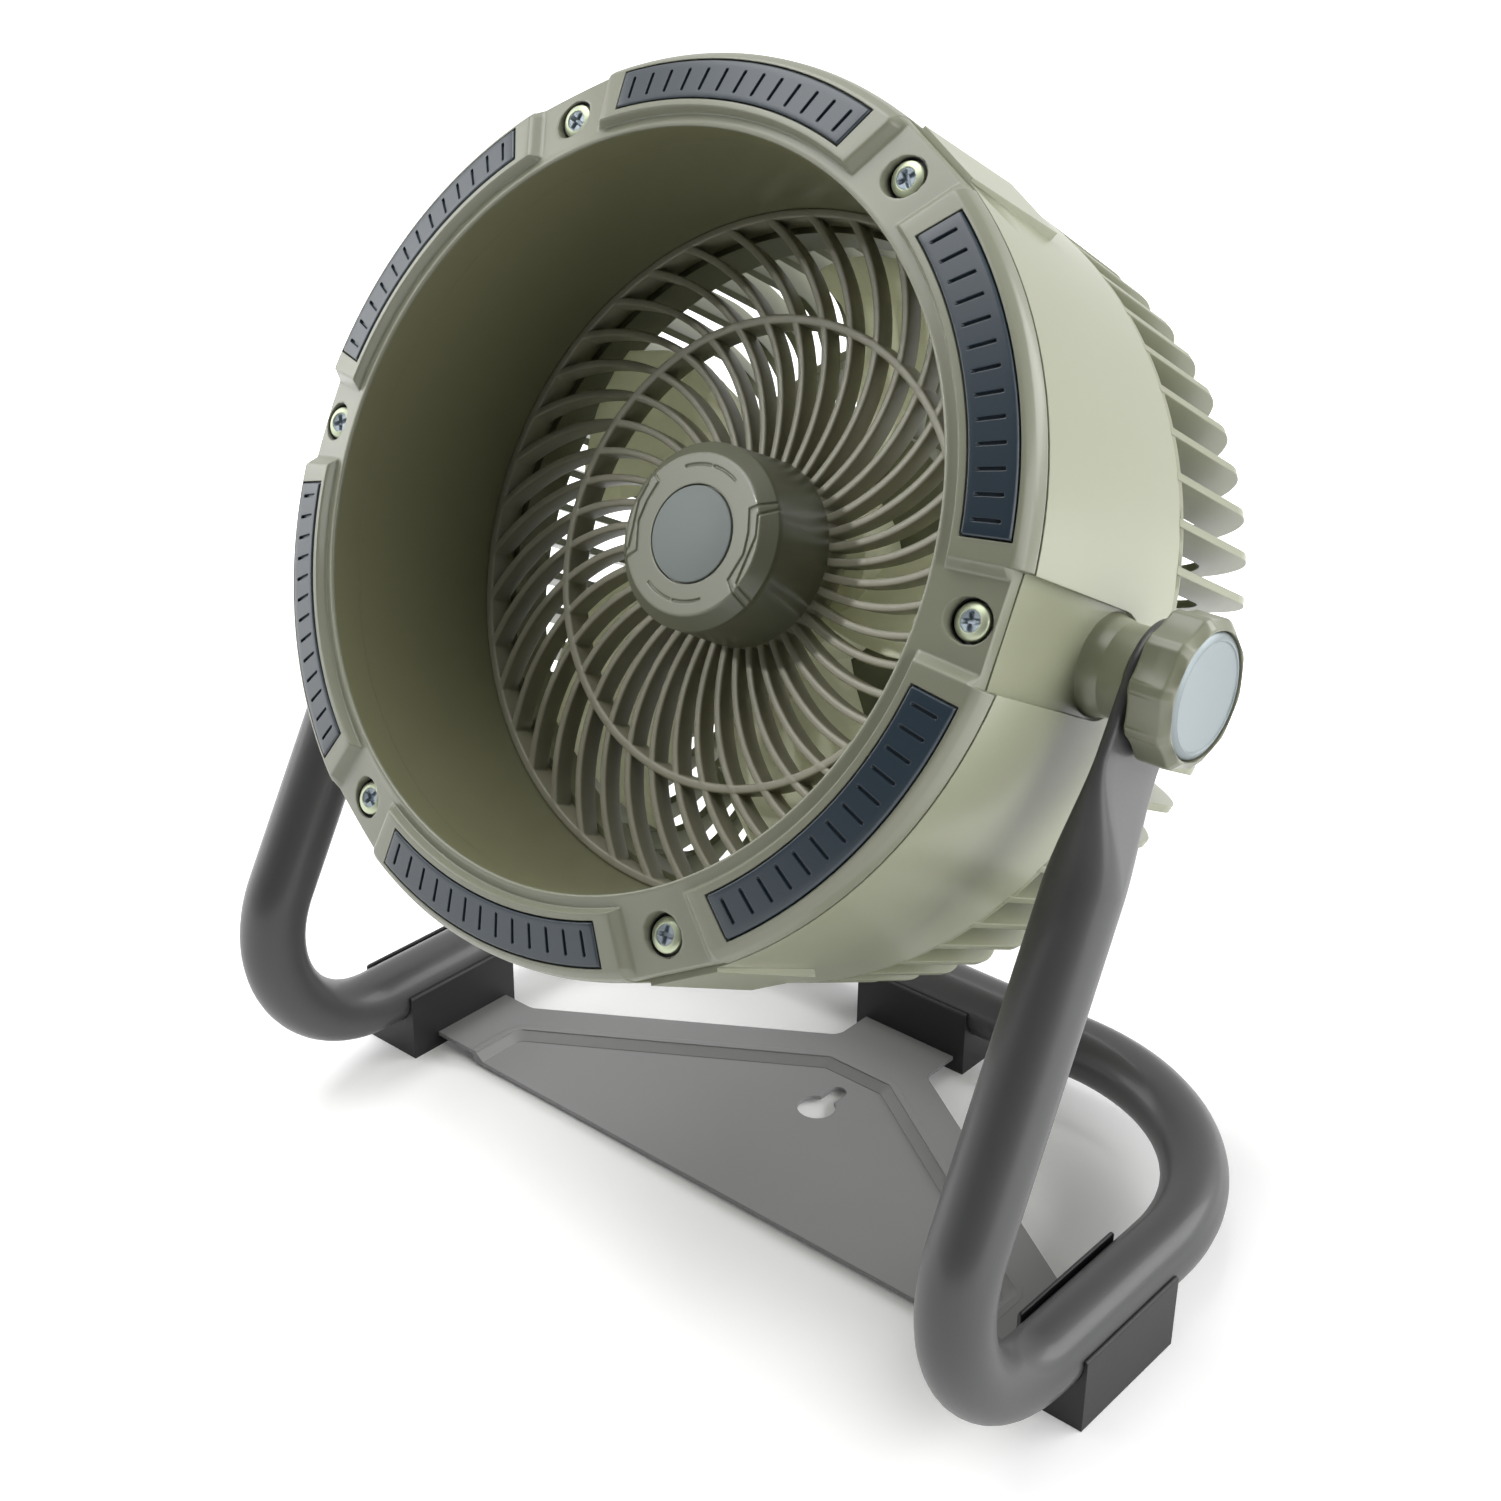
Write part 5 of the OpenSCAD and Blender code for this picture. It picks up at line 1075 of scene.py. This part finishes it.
NODES_BY_LOOK: dict[Looks, str] = {
    Looks.TUBE: "stand_tube",
    Looks.PLATE: "base_plate",
    Looks.BEZEL: "front_bezel hub_cap motor_housing rear_cover",
    Looks.BARREL: "barrel",
    Looks.GUARD: "rear_guard",
    Looks.DUCT: "air_duct",
    Looks.GRILLE: "front_grille",
    Looks.IMPELLER: "impeller",
    Looks.KNOB: "speed_dial knob_grip_left knob_grip_right",
    Looks.DISC: "hub_disc knob_disc_left knob_disc_right",
    Looks.RUBBER: "foot_clip_left foot_clip_right foot_clip_rear pivot_washer_left pivot_washer_right "
                  "knob_washer_left knob_washer_right battery_holder port_flap",
    Looks.ZINC: "foot_screws bezel_screws guard_screws cover_screws",
    Looks.BRASS: "pivot_insert_left pivot_insert_right impeller_nut",
    Looks.STEEL: "motor_case motor_bearings motor_rotor motor_shaft charge_port dial_encoder "
                 "clamp_stud_left clamp_stud_right",
    Looks.COPPER: "motor_stator",
    Looks.SLEEVE: "battery_cells",
    Looks.BOARD: "control_board",
}
NODE_LOOKS = {name: look for look, names in NODES_BY_LOOK.items() for name in names.split()}


def dress_nodes(nodes: dict[str, bpy.types.Object]) -> None:
    """Give every CAD node the material of its finish; the pads, which the table leaves out, get PAD.

    Args:
        nodes: Node names and their objects.
    """
    for name, obj in nodes.items():
        look = NODE_LOOKS.get(name, Looks.PAD)
        obj.data.materials.clear()
        obj.data.materials.append(look.value.material())


@dataclass(frozen=True)
class Lamp:
    """One lamp, placed in metres: a rectangular softbox, or a spot where it has a cone.

    Attributes:
        name: Name of the lamp.
        place: Where it hangs.
        power: Its power in watts.
        size: Width and height of the softbox.
        cone: Half of the spot's opening; 0 makes a softbox.
        aim: The point that the lamp faces.
    """

    name: str
    place: tuple[float, float, float]
    power: float
    size: tuple[float, float] = (1.0, 1.0)
    cone: float = 0.0
    aim: tuple[float, float, float] = (0.0, 0.0, 0.17)

    def build(self) -> None:
        """Hang the lamp and turn it to its aim."""
        data = bpy.data.lights.new(self.name, "SPOT" if self.cone else "AREA")
        data.energy = self.power
        if self.cone:
            data.spot_size, data.spot_blend = math.radians(2.0 * self.cone), 0.5
            data.shadow_soft_size = 0.05
        else:
            data.shape, data.size, data.size_y = "RECTANGLE", self.size[0], self.size[1]
        lamp = bpy.data.objects.new(self.name, data)
        bpy.context.scene.collection.objects.link(lamp)
        lamp.location = Vector(self.place)
        lamp.rotation_mode = "QUATERNION"
        lamp.rotation_quaternion = (Vector(self.aim) - Vector(self.place)).to_track_quat("-Z", "Y")


LAMPS = (
    Lamp("key_right", (1.7, 0.1, 0.75), 18.0, (1.1, 1.2)),
    Lamp("top", (-0.45, -0.2, 1.65), 22.0, (1.5, 1.1)),
    Lamp("panel_left", (-1.7, -0.5, 0.75), 11.0, (1.0, 1.2)),
    Lamp("rim_back", (1.1, 1.25, 0.95), 15.5, (1.2, 0.8)),
    # A narrow spot that lights the wheel behind the grille
    Lamp("snoot_front", (-0.7, -1.1, 1.0), 36.0, cone=3.9, aim=(0.035, -0.005, 0.222)),
)


@dataclass(frozen=True)
class Studio:
    """Floor, lamps, surroundings and camera."""

    eye: tuple[float, float, float] = (393.0, -466.9, 451.6)
    target: tuple[float, float, float] = (0.0, -5.42, 156.59)
    roll: float = 0.66
    lens: float = 52.2
    floor_size: float = 14.0
    floor_glow: float = 0.3
    glow_near: float = 0.24
    glow_far: float = 0.52
    contact_shadow_middle: tuple[float, float, float] = (0.0, 0.035, 0.0)
    contact_shadow_half: tuple[float, float, float] = (0.115, 0.062, 0.0)
    contact_shadow_fade: float = 0.06
    contact_shadow_share: float = 0.2
    ambient: float = 0.3
    room_dim: float = 0.06
    dark_side: tuple[float, float, float] = (0.56, -0.80, 0.2)
    dark_from: float = 0.1
    dark_to: float = 0.8

    def _camera(self) -> None:
        """Aim the camera from the eye at the target, turned by the roll about its own axis."""
        data = bpy.data.cameras.new("camera")
        cam = bpy.data.objects.new("camera", data)
        bpy.context.scene.collection.objects.link(cam)
        data.lens, data.sensor_width = self.lens, 36.0
        data.clip_start, data.clip_end = 0.01, 50.0
        eye, target = Vector(self.eye) * MM, Vector(self.target) * MM
        aim = (target - eye).to_track_quat("-Z", "Y")
        spin = Matrix.Rotation(math.radians(self.roll), 4, "Z")
        cam.matrix_world = Matrix.Translation(eye) @ aim.to_matrix().to_4x4() @ spin
        bpy.context.scene.camera = cam

    @staticmethod
    def _seen(tree: bpy.types.NodeTree, glossy: bool) -> bpy.types.NodeSocket:
        """Give 1 on a ray of the camera or through glass, and on a mirrored one where glossy is set."""
        rays = add_node(tree, "LightPath").outputs
        seen = add_math(tree, "MAXIMUM", rays["Is Camera Ray"], rays["Is Transmission Ray"])
        return add_math(tree, "MAXIMUM", seen, rays["Is Glossy Ray"]) if glossy else seen

    def _floor(self) -> None:
        """A wide pale floor, whose colour the camera sees as near white while shadows stay, with a painted
        contact shadow round the stand.
        """
        half = self.floor_size / 2
        x, y = np.meshgrid(np.linspace(-half, half, 9), np.linspace(-half, half, 9), indexing="ij")
        rows = points(x, y, 0.0)
        mesh = bpy.data.meshes.new("floor")
        mesh.from_pydata(rows.reshape(-1, 3).tolist(), [], Patch(rows).quads(0).tolist())
        floor = bpy.data.objects.new("floor", mesh)
        bpy.context.scene.collection.objects.link(floor)
        mat = bpy.data.materials.new("floor_paper")
        mat.use_nodes = True
        tree = mat.node_tree
        tree.nodes.clear()
        paper = add_node(tree, "BsdfDiffuse", Color=linear("#fdfdfd"))
        place = add_node(tree, "TexCoord").outputs["Object"]
        away = add_node(tree, "VectorMath", {"operation": "LENGTH"}, {0: place}).outputs["Value"]
        # The glow that hides the horizon: weak under the fan, so that its shadow stays, full further out
        level = add_node(tree, "MapRange", SMOOTH, {"Value": away}, From_Min=self.glow_near,
                         From_Max=self.glow_far, To_Min=self.floor_glow, To_Max=1.0).outputs["Result"]
        # Close to the stand the glow fades too, a painted contact shadow: distance = length of max(|place -
        # middle| - half, 0)
        off, zero = place, (0.0, 0.0, 0.0)
        for operation, other in (("SUBTRACT", self.contact_shadow_middle), ("ABSOLUTE", zero),
                                 ("SUBTRACT", self.contact_shadow_half), ("MAXIMUM", zero)):
            off = add_node(tree, "VectorMath", {"operation": operation}, {0: off, 1: other}).outputs["Vector"]
        off = add_node(tree, "VectorMath", {"operation": "LENGTH"}, {0: off}).outputs["Value"]
        painted_contact_shadow = add_node(tree, "MapRange", SMOOTH, {"Value": off}, From_Max=self.contact_shadow_fade,
                         To_Min=self.contact_shadow_share).outputs["Result"]
        strength = add_math(tree, "MULTIPLY", add_math(tree, "MULTIPLY", level, painted_contact_shadow), self._seen(tree, True))
        glow = add_node(tree, "Emission", feeds={"Strength": strength}, Color=WHITE)
        both = add_node(tree, "AddShader", feeds={0: paper.outputs["BSDF"], 1: glow.outputs["Emission"]})
        add_node(tree, "OutputMaterial", feeds={"Surface": both.outputs["Shader"]})
        mesh.materials.append(mat)

    def _world(self) -> None:
        """Pale surroundings: white to the camera and to reflections, dimmer as light."""
        world = bpy.data.worlds.new("studio")
        world.use_nodes = True
        tree = world.node_tree
        tree.nodes.clear()
        towards = add_node(tree, "TexCoord").outputs["Generated"]
        ahead = add_node(tree, "VectorMath", {"operation": "DOT_PRODUCT"}, {0: towards, 1: self.dark_side})
        # Reflections find the room white, but dim in front, where the dark half of the room lies
        room = add_node(tree, "MapRange", SMOOTH, {"Value": ahead.outputs["Value"]}, From_Min=self.dark_from,
                        From_Max=self.dark_to, To_Min=1.0, To_Max=self.room_dim).outputs["Result"]
        mirrored = add_math(tree, "MULTIPLY", add_node(tree, "LightPath").outputs["Is Glossy Ray"], room)
        seen = add_math(tree, "MAXIMUM", mirrored, self._seen(tree, False))
        level = add_math(tree, "MAXIMUM", seen, add_math(tree, "MULTIPLY", room, self.ambient))
        back = add_node(tree, "Background", feeds={"Strength": level}, Color=WHITE)
        add_node(tree, "OutputWorld", feeds={"Surface": back.outputs["Background"]})
        bpy.context.scene.world = world

    def build(self) -> None:
        """Set up the whole studio."""
        self._camera()
        self._floor()
        self._world()
        for lamp in LAMPS:
            lamp.build()
        bpy.context.scene.view_settings.view_transform = "Standard"


def main() -> None:
    """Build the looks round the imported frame, sub-assembly by sub-assembly."""
    logging.basicConfig(level=logging.INFO, format="%(message)s")
    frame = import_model()
    dress_nodes(frame["nodes"])
    for part in (StandTube(), ClipLip(), PressRamp(), Grille(), HubCap(), Bezel(), BezelScrews(), Knobs()):
        part.build()
    Studio().build()


if __name__ == "__main__":
    main()
